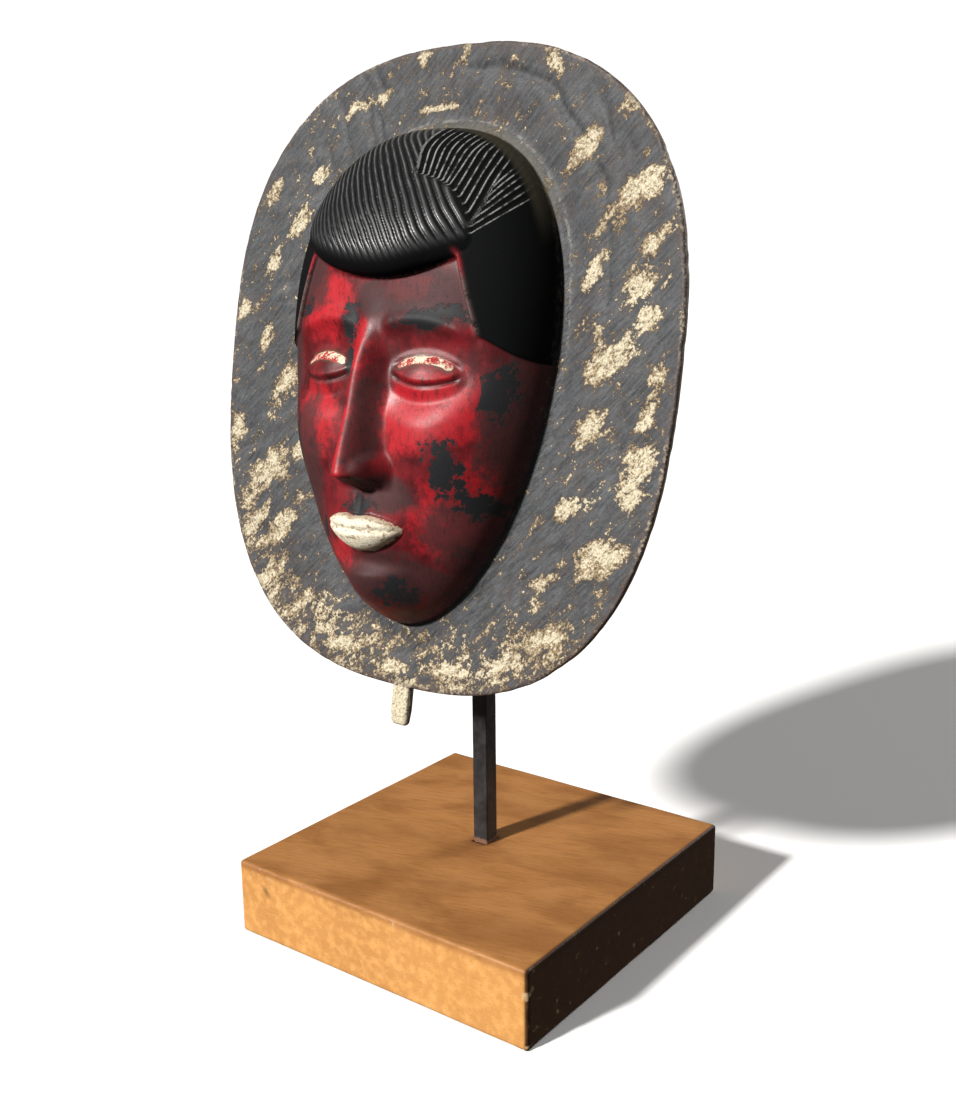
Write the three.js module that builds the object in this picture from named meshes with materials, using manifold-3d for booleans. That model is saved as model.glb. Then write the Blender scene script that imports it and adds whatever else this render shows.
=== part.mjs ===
// A carved wooden mask, a head in high relief on an oval plate, held by a square iron rod on a
// square wooden base. Millimetres, +Z up, the mask looks along -Y, and the origin is the middle of
// the base's underside.
import * as THREE from "three";
import { mergeVertices } from "three/addons/utils/BufferGeometryUtils.js";
import Module from "manifold-3d";

const wasm = await Module();
wasm.setup();

// Driving dimensions.
const base = { width: 200, depth: 200, height: 44, edgeRadius: 1.6, socketDepth: 30 };
const rod = { side: 10, x: -1.6, y: 3.5, top: 451.5 };
const clearance = 0.3; // between pieces that touch

// The oval plate, around its own centre.
const plate = {
  halfWidth: 147,
  above: 153,
  below: 179,
  fullnessAbove: 2.48, // exponents of the outline: 2 is an ellipse
  fullnessBelow: 2.62,
  thickness: 20,
  rimThickness: 6,
  rimRound: 1.8,
  bevel: 26, // width of the slope from the rim to the full thickness, on the back
  trough: 2, // the plate's front dips by this much around the head
  troughWidth: 22,
};
// How the rod's top is let into the plate's back, and the small tab below the plate.
const letIn = { up: 122, woodInFront: 13, sideways: 5 };
const leanBack = 10; // degrees
const tab = { width: 11, length: 20.5, endRadius: 3.5, sideways: 2, rootUp: 8 };

// The head, around the plate's centre, and the bowl cut into the back behind it.
const head = {
  halfWidth: 80,
  above: 100,
  below: 155,
  centreUp: 10,
  relief: 45,
  fullnessAbove: 2.3,
  fullnessBelow: 1.85,
  wallFullness: 2.6,
};
const hollow = {
  halfWidth: 56,
  halfHeight: 84,
  centreUp: -28,
  depth: 42,
  fullness: 2.2,
  wallSteepness: 0.9, // below 1 its wall is steeper than an ellipsoid's
};

// The face keeps a drawing book's canon: five eye widths across the head, eyes halfway up it, the
// hairline at seven eighths, and equal thirds from hairline to brow, brow to nose, nose to chin.
const headHeight = head.above + head.below;
const chinUp = head.centreUp - head.below;
const third = ((7 / 8) * headHeight) / 3;
const eyeSide = (2 * head.halfWidth) / 5;
const eyeUp = chinUp + headHeight / 2;
const browUp = chinUp + 2 * third;
const noseUp = chinUp + third;
const mouthUp = chinUp + (2 / 3) * third;

// Rounded swellings and hollows of the face, the same on both sides.
const swellings = {
  eyeHollow: { side: eyeSide - 1, up: eyeUp + 4, wide: 29, high: 24, rise: -8.5, full: 0.75 },
  eyelid: { side: eyeSide, up: eyeUp, wide: 22, high: 14, rise: 8, full: 0.85 },
  cheek: { side: 42, up: noseUp + 22, wide: 34, high: 36, rise: 5, full: 1 },
  nostrilWing: { side: 12, up: noseUp + 6.5, wide: 7.5, high: 8.5, rise: 5.5, full: 0.8 },
  muzzle: { side: 0, up: mouthUp + 2, wide: 42, high: 32, rise: 5, full: 1 },
  underLip: { side: 0, up: mouthUp - 16, wide: 25, high: 8, rise: -3.5, full: 1 },
  chin: { side: 0, up: chinUp + 20, wide: 28, high: 23, rise: 9, full: 0.8 },
};
// The nose grows from the brow, 0, to its underside, 1.
const nose = {
  halfWidth: 12,
  widening: 4,
  flare: { by: 4, from: 0.72, to: 1 },
  bridgeRise: 6.5,
  rise: 12.5,
  tip: { by: 3.5, from: 0.55, to: 0.95 },
  root: { from: -0.3, to: 0.3 },
  underside: { from: 0.975, to: 1.06 },
};
const brow = {
  up: 4.5,
  curve: 0.008,
  middle: 27,
  rise: 2.6,
  halfWidth: 4.2,
  from: 10,
  to: 53,
  fade: 4,
};
const mouth = { halfWidth: 24, upper: 8.5, lower: 10.5, rise: 7.5, seam: 2.4, seamWidth: 1.6 };
const featuresFade = 0.6; // share of the head's relief below which its features fade out

// The hair covers the crown and comes down in front of each ear.
const hair = {
  thickness: 2.6,
  templeFront: 52,
  templeMiddle: 20, // height at which the temples' front edges are that far from the middle
  templeSlant: 0.33,
  templeLow: 4,
  templeDrop: 11,
  edgeWidth: 1.6,
  sideTop: 52, // height at which the flutes take over from the right temple
  lift: 0.6, // how far the fringe and the flutes stand over the temples
  overlap: 3, // how far the temples run on under the fringe and the flutes
  toEdge: 0.98, // share of the head's outline at which the fringe and the flutes end
};
// The fringe is swept aside in ribs, which lean over and bend further towards the crown.
const fringe = {
  low: 28,
  lowMiddle: 5,
  lowRise: 14,
  halfWidth: 53,
  rightHalfWidth: 45.5,
  middleUp: 40,
  height: 39.5,
  fullness: 2.3,
  thickness: 14,
  thinning: { by: 0.72, from: 0.3, to: 1.05 }, // of the thickness, on the way to the far edge
  farHalfWidth: 75,
  farHeight: 66,
  thinPast: 6, // on its right the thinning's edge lies this far past the ribs
  blend: 15, // half the width over which the left side's thinning turns into the right's
  roll: 17,
  partLine: 59.5, // ribs beyond this one end at the fringe's edge, the others on the crown
  crownRibs: [59, 62.6, 66.2, 69.8], // and these go on beside the first flute
  leftRib: -40,
  rightRib: 64.4,
};
const rib = {
  tilt: 34,
  bend: 0.0033,
  bendFrom: 50,
  period: 3.6,
  depth: 1.5,
  fadeIn: { from: 0.4, to: 0.9 }, // over the fringe's roll
};
// Beside the fringe flutes are cut along one line of sight. Seen along it, in millimetres to the
// right of the fringe's corner and above it, each edge between two flutes passes a place and leans
// to the right. The first flutes cross the crown, the next stand side by side, and the last branch
// off the edge before them and turn smooth at the side.
const fan = {
  corner: [48, 50, 37],
  right: [0.791, 0.091, -0.605],
  up: [0.033, 1.015, 0.202],
  crown: { edges: 8, side: -23.1, apart: 3.1, up: 33, drop: 0, lean: 9.5, turn: 3.6 },
  upright: { edges: 5, side: -3, apart: 4.1, up: 24.5, drop: 0, lean: 31, turn: 0 },
  branches: { edges: 6, side: 16, apart: -3, up: 25.4, drop: 5.2, lean: 48, turn: 2.2 },
  smooth: { edges: 4, side: 1, apart: 0, up: -0.6, drop: 0, lean: 59, turn: 8 },
  bend: 0.05,
  bendFrom: 38,
  depth: 1.5,
  lap: 0.7, // how far one patch of hair reaches into the next
  underFringe: 0.93, // share of the fringe's outline at which the flutes start, below the ribs
};

// Faces along and across each surface.
const grid = {
  columns: 38,
  rows: 58,
  wallCrowding: 1.25, // above 1 the rows close up where the head's wall is steep
  plateRings: 2,
  ribRows: 11,
  fanRows: 7,
  sink: 4, // how far the hair's patches reach into the head
  bowlSides: 44,
  bowlRings: 6,
};

const clamp = (x, low, high) => Math.min(high, Math.max(low, x));
const step = (from, to, x) => {
  const t = clamp((x - from) / (to - from), 0, 1);
  return t * t * (3 - 2 * t);
};
const radians = THREE.MathUtils.degToRad;
const lerp = THREE.MathUtils.lerp;

// Solves for the place between two numbers where a test turns from true to false.
function whereEnds(holds, from, to) {
  let [near, far] = [from, to];
  for (let i = 0; i < 40; i++) {
    const middle = (near + far) / 2;
    if (holds(middle)) near = middle;
    else far = middle;
  }
  return near;
}

// Outlines are superellipses, given as the share of the way from the centre to the edge.
const share = (u, v, halfWidth, halfHeight, fullness) =>
  ((Math.abs(u) / halfWidth) ** fullness + (Math.abs(v) / halfHeight) ** fullness) **
  (1 / fullness);
const plateShare = (u, v) =>
  v > 0
    ? share(u, v, plate.halfWidth, plate.above, plate.fullnessAbove)
    : share(u, v, plate.halfWidth, plate.below, plate.fullnessBelow);
const headShare = (u, v) => {
  const up = v - head.centreUp;
  return up > 0
    ? share(u, up, head.halfWidth, head.above, head.fullnessAbove)
    : share(u, up, head.halfWidth, head.below, head.fullnessBelow);
};

function swell(u, v, { side, up, wide, high, rise, full }) {
  const squared = ((Math.abs(u) - side) / wide) ** 2 + ((v - up) / high) ** 2;
  return squared < 1 ? rise * (1 - squared) ** (2 * full) : 0;
}

// A long nose, flat underneath.
function noseRelief(u, v) {
  const down = (browUp - v) / (browUp - noseUp);
  const along = clamp(down, 0, 1);
  const { flare, tip, root, underside } = nose;
  const flaring = flare.by * step(flare.from, flare.to, along);
  const halfWidth = nose.halfWidth + nose.widening * along + flaring;
  const height = nose.bridgeRise + nose.rise * along + tip.by * step(tip.from, tip.to, along);
  const across = clamp(Math.abs(u) / halfWidth, 0, 1);
  const ends = step(root.from, root.to, down) * (1 - step(underside.from, underside.to, down));
  return height * (0.5 + 0.5 * Math.cos(Math.PI * across)) * ends;
}

function browRelief(u, v) {
  const side = Math.abs(u);
  const away = v - browUp - brow.up + brow.curve * (side - brow.middle) ** 2;
  const { from, to, fade } = brow;
  const ends = step(from - fade, from + fade, side) * step(to + fade, to - fade, side);
  return brow.rise * Math.exp(-((away / brow.halfWidth) ** 2)) * ends;
}

// Two full lips that meet in a shallow seam.
function lipRelief(u, v) {
  const q = clamp(1 - (u / mouth.halfWidth) ** 2, 0, 1);
  if (q === 0) return 0;
  const up = v - mouthUp;
  const toward = up > 0 ? up / (mouth.upper * q) : -up / (mouth.lower * q);
  if (toward > 1) return 0;
  const seam = mouth.seam * Math.exp(-((up / mouth.seamWidth) ** 2)) * q;
  return mouth.rise * Math.sqrt(q * (1 - toward ** 2)) - seam;
}

function fringeLow(u) {
  const side = u - fringe.lowMiddle;
  const halfWidth = side > 0 ? fringe.rightHalfWidth : fringe.halfWidth;
  return fringe.low + fringe.lowRise * (side / halfWidth) ** 2;
}

// How far inside a temple's hair a point is.
function insideTemple(u, v) {
  const side = Math.abs(u);
  const front = hair.templeFront + hair.templeSlant * (hair.templeMiddle - v);
  const drop = hair.templeDrop * step(hair.templeFront, head.halfWidth, side);
  const under = Math.max(fringeLow(u), hair.sideTop) + hair.overlap - v;
  return Math.min(side - front, v - hair.templeLow + drop, under);
}

// How high the head's dome stands at a share of its outline, from 0 to 1.
const dome = (toEdge) => Math.sqrt(1 - Math.min(toEdge, 1) ** head.wallFullness);

// Height of the front over the plate's face without any hair.
function skinHeight(u, v) {
  const toEdge = headShare(u, v);
  if (toEdge >= 1) {
    const away = (toEdge - 1) * head.halfWidth;
    return -plate.trough * (1 - step(0, plate.troughWidth, away));
  }
  const wall = dome(toEdge);
  let features = noseRelief(u, v) + browRelief(u, v) + lipRelief(u, v);
  for (const swelling of Object.values(swellings)) features += swell(u, v, swelling);
  return -plate.trough + (head.relief + plate.trough) * wall + features * step(0, featuresFade, wall);
}

// Height of the carved front, under the fringe and the flutes.
function frontHeight(u, v) {
  const covered = step(-hair.edgeWidth, hair.edgeWidth, insideTemple(u, v));
  const fade = step(0, featuresFade, dome(headShare(u, v)));
  return skinHeight(u, v) + hair.thickness * covered * fade;
}

// The fringe's thickness: it rolls up from its lower edge and thins out towards the crown.
function fringeThickness(u, v) {
  const above = clamp((v - fringeLow(u)) / fringe.roll, 0, 1);
  const { lowMiddle, blend, thinPast } = fringe;
  const left = step(lowMiddle + blend, lowMiddle - blend, u);
  const toFarEdge = share(
    u - lowMiddle,
    Math.max(v - fringe.middleUp, 0),
    lerp(fringe.rightHalfWidth + thinPast, fringe.farHalfWidth, left),
    lerp(fringe.height + thinPast, fringe.farHeight, left),
    fringe.fullness,
  );
  const rolled = Math.sqrt(1 - (1 - above) ** 2);
  const { by, from, to } = fringe.thinning;
  return fringe.thickness * rolled * (1 - by * step(from, to, toFarEdge));
}

// A solid from points and triangles, and back.
function solidFrom(points, triangles) {
  const geometry = new THREE.BufferGeometry().setAttribute(
    "position",
    new THREE.Float32BufferAttribute(points.flat(), 3),
  );
  geometry.setIndex(triangles);
  return solidOf(geometry);
}
function solidOf(geometry) {
  const bare = geometry.clone();
  bare.deleteAttribute("normal");
  bare.deleteAttribute("uv");
  const merged = mergeVertices(bare, 1e-4);
  return new wasm.Manifold(
    new wasm.Mesh({
      numProp: 3,
      vertProperties: new Float32Array(merged.attributes.position.array),
      triVerts: new Uint32Array(merged.index.array),
    }),
  );
}
function geometryOf(solid) {
  const mesh = solid.getMesh();
  const geometry = new THREE.BufferGeometry();
  geometry.setAttribute("position", new THREE.BufferAttribute(mesh.vertProperties, 3));
  geometry.setIndex(new THREE.BufferAttribute(mesh.triVerts, 1));
  const flat = geometry.toNonIndexed();
  flat.computeVertexNormals();
  return flat;
}

// A point of the mask in its own frame: u to the right, v up, w towards the viewer.
const onMask = (u, v, w) => [u, -w, v];

// Where a ray from the head's centre meets an outline.
const reach = (outline, angle) =>
  whereEnds(
    (r) => outline(r * Math.cos(angle), head.centreUp + r * Math.sin(angle)) < 1,
    0,
    3 * plate.below,
  );

// A skin that grows by points and faces, and closes into a solid.
class Skin {
  points = [];
  triangles = [];
  add(u, v, w) {
    return this.points.push(onMask(u, v, w)) - 1;
  }
  quad(a, b, c, d) {
    this.triangles.push(a, b, c, a, c, d);
  }
  // A band of faces between two closed rings with the same number of points.
  band(inner, outer) {
    outer.forEach((point, k) => {
      const next = (k + 1) % outer.length;
      this.quad(inner[k], point, outer[next], inner[next]);
    });
  }
  // A band between a ring and one with half as many points.
  halvingBand(fine, coarse) {
    coarse.forEach((point, k) => {
      const after = coarse[(k + 1) % coarse.length];
      const [start, middle] = [fine[2 * k], fine[2 * k + 1]];
      const end = fine[(2 * k + 2) % fine.length];
      this.triangles.push(start, point, middle, middle, point, after, middle, after, end);
    });
  }
  solid() {
    return solidFrom(this.points, this.triangles);
  }
}

// The plate and the head as one skin: a square grid bent to the head's outline, then rings out
// over the plate, round the rim and over the back's slope, and a flat back.
function carvedBody() {
  const { columns, rows } = grid;
  const skin = new Skin();
  const index = (i, j) => j * (columns + 1) + i;
  for (let j = 0; j <= rows; j++) {
    for (let i = 0; i <= columns; i++) {
      const x = (2 * i) / columns - 1;
      const y = (2 * j) / rows - 1;
      const a = x * Math.sqrt(1 - (y * y) / 2);
      const b = y * Math.sqrt(1 - (x * x) / 2);
      const out = Math.min(Math.hypot(a, b), 1);
      const angle = Math.atan2(b * headHeight, a * 2 * head.halfWidth);
      const r = (1 - (1 - out) ** grid.wallCrowding) * reach(headShare, angle);
      const u = r * Math.cos(angle);
      const v = head.centreUp + r * Math.sin(angle);
      const onBorder = i % columns === 0 || j % rows === 0;
      skin.add(u, v, onBorder ? -plate.trough : frontHeight(u, v));
    }
  }
  for (let j = 0; j < rows; j++)
    for (let i = 0; i < columns; i++)
      skin.quad(index(i, j), index(i + 1, j), index(i + 1, j + 1), index(i, j + 1));

  const border = [
    ...Array.from({ length: columns }, (_, i) => index(i, 0)),
    ...Array.from({ length: rows }, (_, j) => index(columns, j)),
    ...Array.from({ length: columns }, (_, i) => index(columns - i, rows)),
    ...Array.from({ length: rows }, (_, j) => index(0, rows - j)),
  ];
  const angles = border
    .filter((_, k) => k % 2 === 0)
    .map((k) => Math.atan2(skin.points[k][2] - head.centreUp, skin.points[k][0]));
  const toHead = angles.map((angle) => reach(headShare, angle));
  const toRim = angles.map((angle) => reach(plateShare, angle));
  const ringAt = (place) =>
    angles.map((angle, k) => {
      const [r, w] = place(k);
      const [u, v] = [r * Math.cos(angle), head.centreUp + r * Math.sin(angle)];
      return skin.add(u, v, w ?? frontHeight(u, v));
    });
  const rings = [];
  for (let n = 1; n <= grid.plateRings; n++) {
    const t = n / grid.plateRings;
    rings.push(ringAt((k) => [toHead[k] + t * (toRim[k] - plate.rimRound - toHead[k])]));
  }
  rings.push(ringAt((k) => [toRim[k], -plate.rimRound]));
  rings.push(ringAt((k) => [toRim[k], -plate.rimThickness]));
  rings.push(ringAt((k) => [toRim[k] - plate.bevel, -plate.thickness]));
  skin.halvingBand(border, rings[0]);
  for (let n = 1; n < rings.length; n++) skin.band(rings[n - 1], rings[n]);
  const last = rings[rings.length - 1];
  const middle = skin.add(0, head.centreUp, -plate.thickness);
  last.forEach((point, k) =>
    skin.triangles.push(point, middle, last[(k + 1) % last.length]),
  );
  return skin.solid();
}

// A closed patch of hair over the head: a grid of places (u, v, w) with its sunken underside.
function hairPatch(across, along, place) {
  const skin = new Skin();
  const under = (across + 1) * (along + 1);
  const at = (i, j) => i * (along + 1) + j;
  const places = [];
  for (let i = 0; i <= across; i++)
    for (let j = 0; j <= along; j++) places.push(place(i, j / along));
  for (const [u, v, w] of places) skin.add(u, v, w);
  for (const [u, v] of places) skin.add(u, v, frontHeight(u, v) - grid.sink);
  for (let i = 0; i < across; i++) {
    for (let j = 0; j < along; j++) {
      const corners = [at(i, j), at(i + 1, j), at(i + 1, j + 1), at(i, j + 1)];
      skin.quad(...corners);
      skin.quad(...corners.map((k) => under + k).reverse());
    }
    skin.quad(at(i, 0), under + at(i, 0), under + at(i + 1, 0), at(i + 1, 0));
    skin.quad(at(i + 1, along), under + at(i + 1, along), under + at(i, along), at(i, along));
  }
  for (let j = 0; j < along; j++) {
    skin.quad(at(0, j + 1), under + at(0, j + 1), under + at(0, j), at(0, j));
    skin.quad(
      at(across, j),
      under + at(across, j),
      under + at(across, j + 1),
      at(across, j + 1),
    );
  }
  return skin.solid();
}

// Where a rib's line, numbered by its place across the ribs, is at a height.
function ribSide(number, v) {
  const bent = rib.bend * Math.max(v - rib.bendFrom, 0) ** 2;
  const tilt = radians(rib.tilt);
  return (number - v * Math.sin(tilt) - bent) / Math.cos(tilt);
}

// How far towards the fringe's upper and right edge a point is, 1 being on it.
function fringeShare(u, v) {
  const side = Math.max(u - fringe.lowMiddle, 0);
  const up = Math.max(v - fringe.middleUp, 0);
  return share(side, up, fringe.rightHalfWidth, fringe.height, fringe.fullness);
}

// The fringe's ribs, from its lower edge to its upper edge or over the crown. The rows are closer
// together at both ends, where the surface curves most.
function ribbedFringe() {
  const count = Math.round((fringe.rightRib - fringe.leftRib) / rib.period);
  return hairPatch(2 * count, grid.ribRows, (i, t) => {
    const number = fringe.leftRib + (i * rib.period) / 2;
    const low = whereEnds((v) => v < fringeLow(ribSide(number, v)), 0, plate.above);
    const overCrown = (v) => headShare(ribSide(number, v), v) < hair.toEdge;
    const overFringe = (v) => fringeShare(ribSide(number, v), v) < 1;
    const high = whereEnds(number < fringe.partLine ? overCrown : overFringe, low, plate.above);
    const v = low + ((high - low) * (1 - Math.cos(Math.PI * t))) / 2;
    const u = ribSide(number, v);
    const onRoll = (v - low) / fringe.roll;
    const groove = i % 2 === 0 ? rib.depth * step(rib.fadeIn.from, rib.fadeIn.to, onRoll) : 0;
    const thin = hair.thickness * step(0, rib.fadeIn.from, onRoll);
    const thickness = Math.max(fringeThickness(u, v), thin);
    const least = insideTemple(u, v) > 0 ? frontHeight(u, v) + hair.lift : 0;
    return [u, v, Math.max(skinHeight(u, v) + thickness - groove, least)];
  });
}

// Where a place of the hair appears along the flutes' line of sight.
function seen(u, v) {
  const place = new THREE.Vector3(u, v, skinHeight(u, v) + hair.thickness);
  place.sub(new THREE.Vector3(...fan.corner));
  const up = place.dot(new THREE.Vector3(...fan.up));
  const bend = fan.bend * Math.max(up - fan.bendFrom, 0) ** 2;
  return [place.dot(new THREE.Vector3(...fan.right)) - bend, up];
}

// The edge lines of a group of flutes, from left to right.
const edgesOf = ({ edges, side, apart, up, drop, lean, turn }) =>
  Array.from({ length: edges }, (_, k) => ({
    side: side + k * apart,
    up: up - k * drop,
    lean: radians(lean + k * turn),
  }));

// Where an edge line is at a height.
function edgeSide({ side, up, lean }, v) {
  const isLeft = (u) => {
    const [seenSide, seenUp] = seen(u, v);
    return (seenSide - side) * Math.cos(lean) < (seenUp - up) * Math.sin(lean);
  };
  return whereEnds(isLeft, -head.halfWidth / 4, head.halfWidth);
}

// The places along a line on the head, from a height to the head's outline.
function upTo(sideAt, start) {
  const onHead = (v) => headShare(sideAt(v), v) < hair.toEdge;
  const end = whereEnds(onHead, start, plate.above);
  return (t) => {
    const v = start + (end - start) * Math.sin((t * Math.PI) / 2);
    return [sideAt(v), v];
  };
}
function fromFringe(sideAt) {
  const inside = (v) => fringeShare(sideAt(v), v) < fan.underFringe;
  return upTo(sideAt, whereEnds(inside, fringe.middleUp, plate.above));
}
function fromPlace(edge, up) {
  const sideAt = (v) => edgeSide(edge, v);
  const below = (v) => seen(sideAt(v), v)[1] < up;
  return upTo(sideAt, whereEnds(below, fringe.middleUp, plate.above));
}

// A patch of hair between lines on the head: flutes, hollow between their edges, and then smooth.
function flutedPatch(lines, flutes) {
  const hollows = lines.slice(0, flutes).map((line, k) => (t) => {
    const [here, next] = [line(t), lines[k + 1](t)];
    return [(here[0] + next[0]) / 2, (here[1] + next[1]) / 2];
  });
  const columns = lines.flatMap((line, k) => (k < flutes ? [line, hollows[k]] : [line]));
  return hairPatch(columns.length - 1, grid.fanRows, (i, t) => {
    const [u, v] = columns[i](t);
    const hollow = i < 2 * flutes && i % 2 === 1 && t > 0 ? fan.depth : 0;
    return [u, v, skinHeight(u, v) + hair.thickness + hair.lift - hollow];
  });
}

// The flutes over the crown and the upright ones, those that branch off, and the ribs that start
// at the first flute's edge.
function flutedFan() {
  const rising = [...edgesOf(fan.crown), ...edgesOf(fan.upright)];
  const branches = edgesOf(fan.branches);
  const smooth = edgesOf(fan.smooth).slice(1);
  const [first, last] = [rising[0], rising[rising.length - 1]];
  const ribs = fringe.crownRibs.map((number, k) => {
    const sideAt = (v) => ribSide(k > 0 ? number : number - fan.lap, v);
    const beside = (v) => sideAt(v) > edgeSide(first, v) + fan.lap;
    return upTo(sideAt, whereEnds(beside, fringe.middleUp, plate.above));
  });
  const stem = fromPlace({ ...last, side: last.side - fan.lap }, fan.branches.up - fan.lap);
  const besideStem = [...branches, ...smooth].map((edge) => fromPlace(edge, edge.up));
  const upright = rising.map((edge) => fromFringe((v) => edgeSide(edge, v)));
  return flutedPatch(upright, upright.length - 1)
    .add(flutedPatch([stem, ...besideStem], branches.length))
    .add(flutedPatch(ribs, ribs.length - 1));
}

// The bowl cut into the back, as a solid to take away.
function backHollow() {
  const deep = grid.bowlRings;
  const past = 5; // how far the cut starts outside the wood
  const profile = [];
  for (let i = deep; i >= 0; i--) {
    const angle = (i / deep) * (Math.PI / 2);
    const out = Math.cos(angle) ** hollow.wallSteepness;
    profile.push(new THREE.Vector2(out, hollow.depth * Math.sin(angle)));
  }
  profile[0].x = 0;
  profile.push(new THREE.Vector2(1, -past), new THREE.Vector2(0, -past));
  const bowl = new THREE.LatheGeometry(profile, grid.bowlSides);
  const position = bowl.getAttribute("position");
  for (let k = 0; k < position.count; k++) {
    const [x, depth, z] = [position.getX(k), position.getY(k), position.getZ(k)];
    const out = Math.hypot(x, z);
    const stretch = out < 1e-9 ? 0 : 1 / share(x / out, z / out, 1, 1, hollow.fullness);
    const u = x * stretch * hollow.halfWidth;
    const v = hollow.centreUp + z * stretch * hollow.halfHeight;
    position.setXYZ(k, ...onMask(u, v, depth - plate.thickness));
  }
  return solidOf(bowl);
}

// The small tab that hangs from the plate's foot.
function footTab() {
  const side = new THREE.Shape();
  const foot = -plate.below - tab.length;
  side.moveTo(0, -plate.below + tab.rootUp);
  side.lineTo(0, foot);
  side.lineTo(plate.rimThickness - tab.endRadius, foot);
  side.absarc(
    plate.rimThickness - tab.endRadius,
    foot + tab.endRadius,
    tab.endRadius,
    -Math.PI / 2,
    0,
    false,
  );
  side.lineTo(plate.rimThickness, -plate.below + tab.rootUp);
  const bar = new THREE.ExtrudeGeometry(side, {
    depth: tab.width,
    bevelEnabled: false,
    curveSegments: 4,
  });
  // The profile was drawn as depth against height, and its thickness runs along the width.
  bar.applyMatrix4(
    new THREE.Matrix4().makeBasis(
      new THREE.Vector3(0, 1, 0),
      new THREE.Vector3(0, 0, 1),
      new THREE.Vector3(1, 0, 0),
    ),
  );
  bar.translate(tab.sideways - tab.width / 2, 0, 0);
  return solidOf(bar);
}

const box = (x, y, z) => new THREE.BoxGeometry(x, y, z);
const wood = (color, roughness) =>
  new THREE.MeshStandardMaterial({ color, roughness, metalness: 0 });

// The mask leans back so that the rod's top fits into the notch in its back.
const lean = radians(leanBack);
const notchTop = new THREE.Vector3(letIn.sideways, letIn.woodInFront, letIn.up);
notchTop.applyAxisAngle(new THREE.Vector3(1, 0, 0), -lean);
const rodTop = new THREE.Vector3(rod.x, rod.y - rod.side / 2, rod.top);
const maskPlace = rodTop.clone().sub(notchTop);

function maskMesh() {
  const carved = carvedBody()
    .add(ribbedFringe())
    .add(flutedFan())
    .add(footTab())
    .subtract(backHollow());
  const notch = box(
    rod.side + 2 * clearance,
    2 * plate.thickness,
    2 * plate.below,
  );
  notch.translate(
    rod.x,
    rod.y - rod.side / 2 - clearance + plate.thickness,
    rod.top + clearance - plate.below,
  );
  notch.translate(-maskPlace.x, -maskPlace.y, -maskPlace.z);
  notch.rotateX(lean);
  const mesh = new THREE.Mesh(
    geometryOf(carved.subtract(solidOf(notch))),
    wood(0x5a1216, 0.45),
  );
  mesh.name = "mask";
  mesh.position.copy(maskPlace);
  mesh.rotation.x = -lean;
  return mesh;
}

function rodMesh() {
  const foot = base.height - base.socketDepth + clearance;
  const mesh = new THREE.Mesh(
    box(rod.side, rod.side, rod.top - foot),
    new THREE.MeshStandardMaterial({ color: 0x17181a, roughness: 0.55, metalness: 0.6 }),
  );
  mesh.name = "rod";
  mesh.position.set(rod.x, rod.y, (rod.top + foot) / 2);
  return mesh;
}

function baseMesh() {
  const { width, depth, height, edgeRadius } = base;
  const plan = new THREE.Shape();
  const [x, y] = [width / 2 - edgeRadius, depth / 2 - edgeRadius];
  plan.moveTo(-x, -y);
  plan.lineTo(x, -y);
  plan.lineTo(x, y);
  plan.lineTo(-x, y);
  const block = new THREE.ExtrudeGeometry(plan, {
    depth: height - 2 * edgeRadius,
    bevelThickness: edgeRadius,
    bevelSize: edgeRadius,
    bevelSegments: 3,
  });
  block.translate(0, 0, edgeRadius);
  const socket = box(
    rod.side + 2 * clearance,
    rod.side + 2 * clearance,
    2 * base.socketDepth,
  );
  socket.translate(rod.x, rod.y, height);
  const mesh = new THREE.Mesh(
    geometryOf(solidOf(block).subtract(solidOf(socket))),
    wood(0xa06a38, 0.5),
  );
  mesh.name = "base";
  return mesh;
}

const model = new THREE.Group();
model.add(baseMesh(), rodMesh(), maskMesh());

export default model;
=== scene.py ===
# A carved and painted wooden mask on an iron rod and a wooden base.
import itertools
import math

import bpy
import numpy as np
from mathutils import Matrix, Vector


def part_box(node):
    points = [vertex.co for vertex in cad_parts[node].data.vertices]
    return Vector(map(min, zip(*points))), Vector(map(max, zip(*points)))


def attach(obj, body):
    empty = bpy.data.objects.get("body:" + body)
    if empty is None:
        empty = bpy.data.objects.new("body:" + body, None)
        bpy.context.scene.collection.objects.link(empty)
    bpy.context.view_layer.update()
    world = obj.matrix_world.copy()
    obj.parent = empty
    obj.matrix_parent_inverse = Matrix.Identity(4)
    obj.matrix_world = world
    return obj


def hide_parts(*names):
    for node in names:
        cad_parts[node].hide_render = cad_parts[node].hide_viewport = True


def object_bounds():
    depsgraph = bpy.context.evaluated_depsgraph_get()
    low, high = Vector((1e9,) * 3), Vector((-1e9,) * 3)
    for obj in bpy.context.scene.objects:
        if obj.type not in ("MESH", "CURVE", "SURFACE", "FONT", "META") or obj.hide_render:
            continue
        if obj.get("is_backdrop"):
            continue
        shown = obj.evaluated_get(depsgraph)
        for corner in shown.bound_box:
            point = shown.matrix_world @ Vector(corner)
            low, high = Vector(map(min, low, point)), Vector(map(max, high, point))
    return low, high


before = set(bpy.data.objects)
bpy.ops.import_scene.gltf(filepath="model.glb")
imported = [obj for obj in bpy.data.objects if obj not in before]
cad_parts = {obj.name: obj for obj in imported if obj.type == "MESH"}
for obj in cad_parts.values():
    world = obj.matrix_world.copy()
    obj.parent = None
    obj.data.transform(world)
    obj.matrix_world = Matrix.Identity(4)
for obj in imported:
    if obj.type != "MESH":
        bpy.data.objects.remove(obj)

cad_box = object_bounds()
MM = 0.001
SEED = 7

# Place of the mask: its own frame has u to the right, v up and w towards the viewer, in
# millimetres, around the plate's centre, and leans back.
PLATE_CENTRE = (-6.6, -35.5, 333.6)
LEAN_BACK = math.radians(10)

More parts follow.
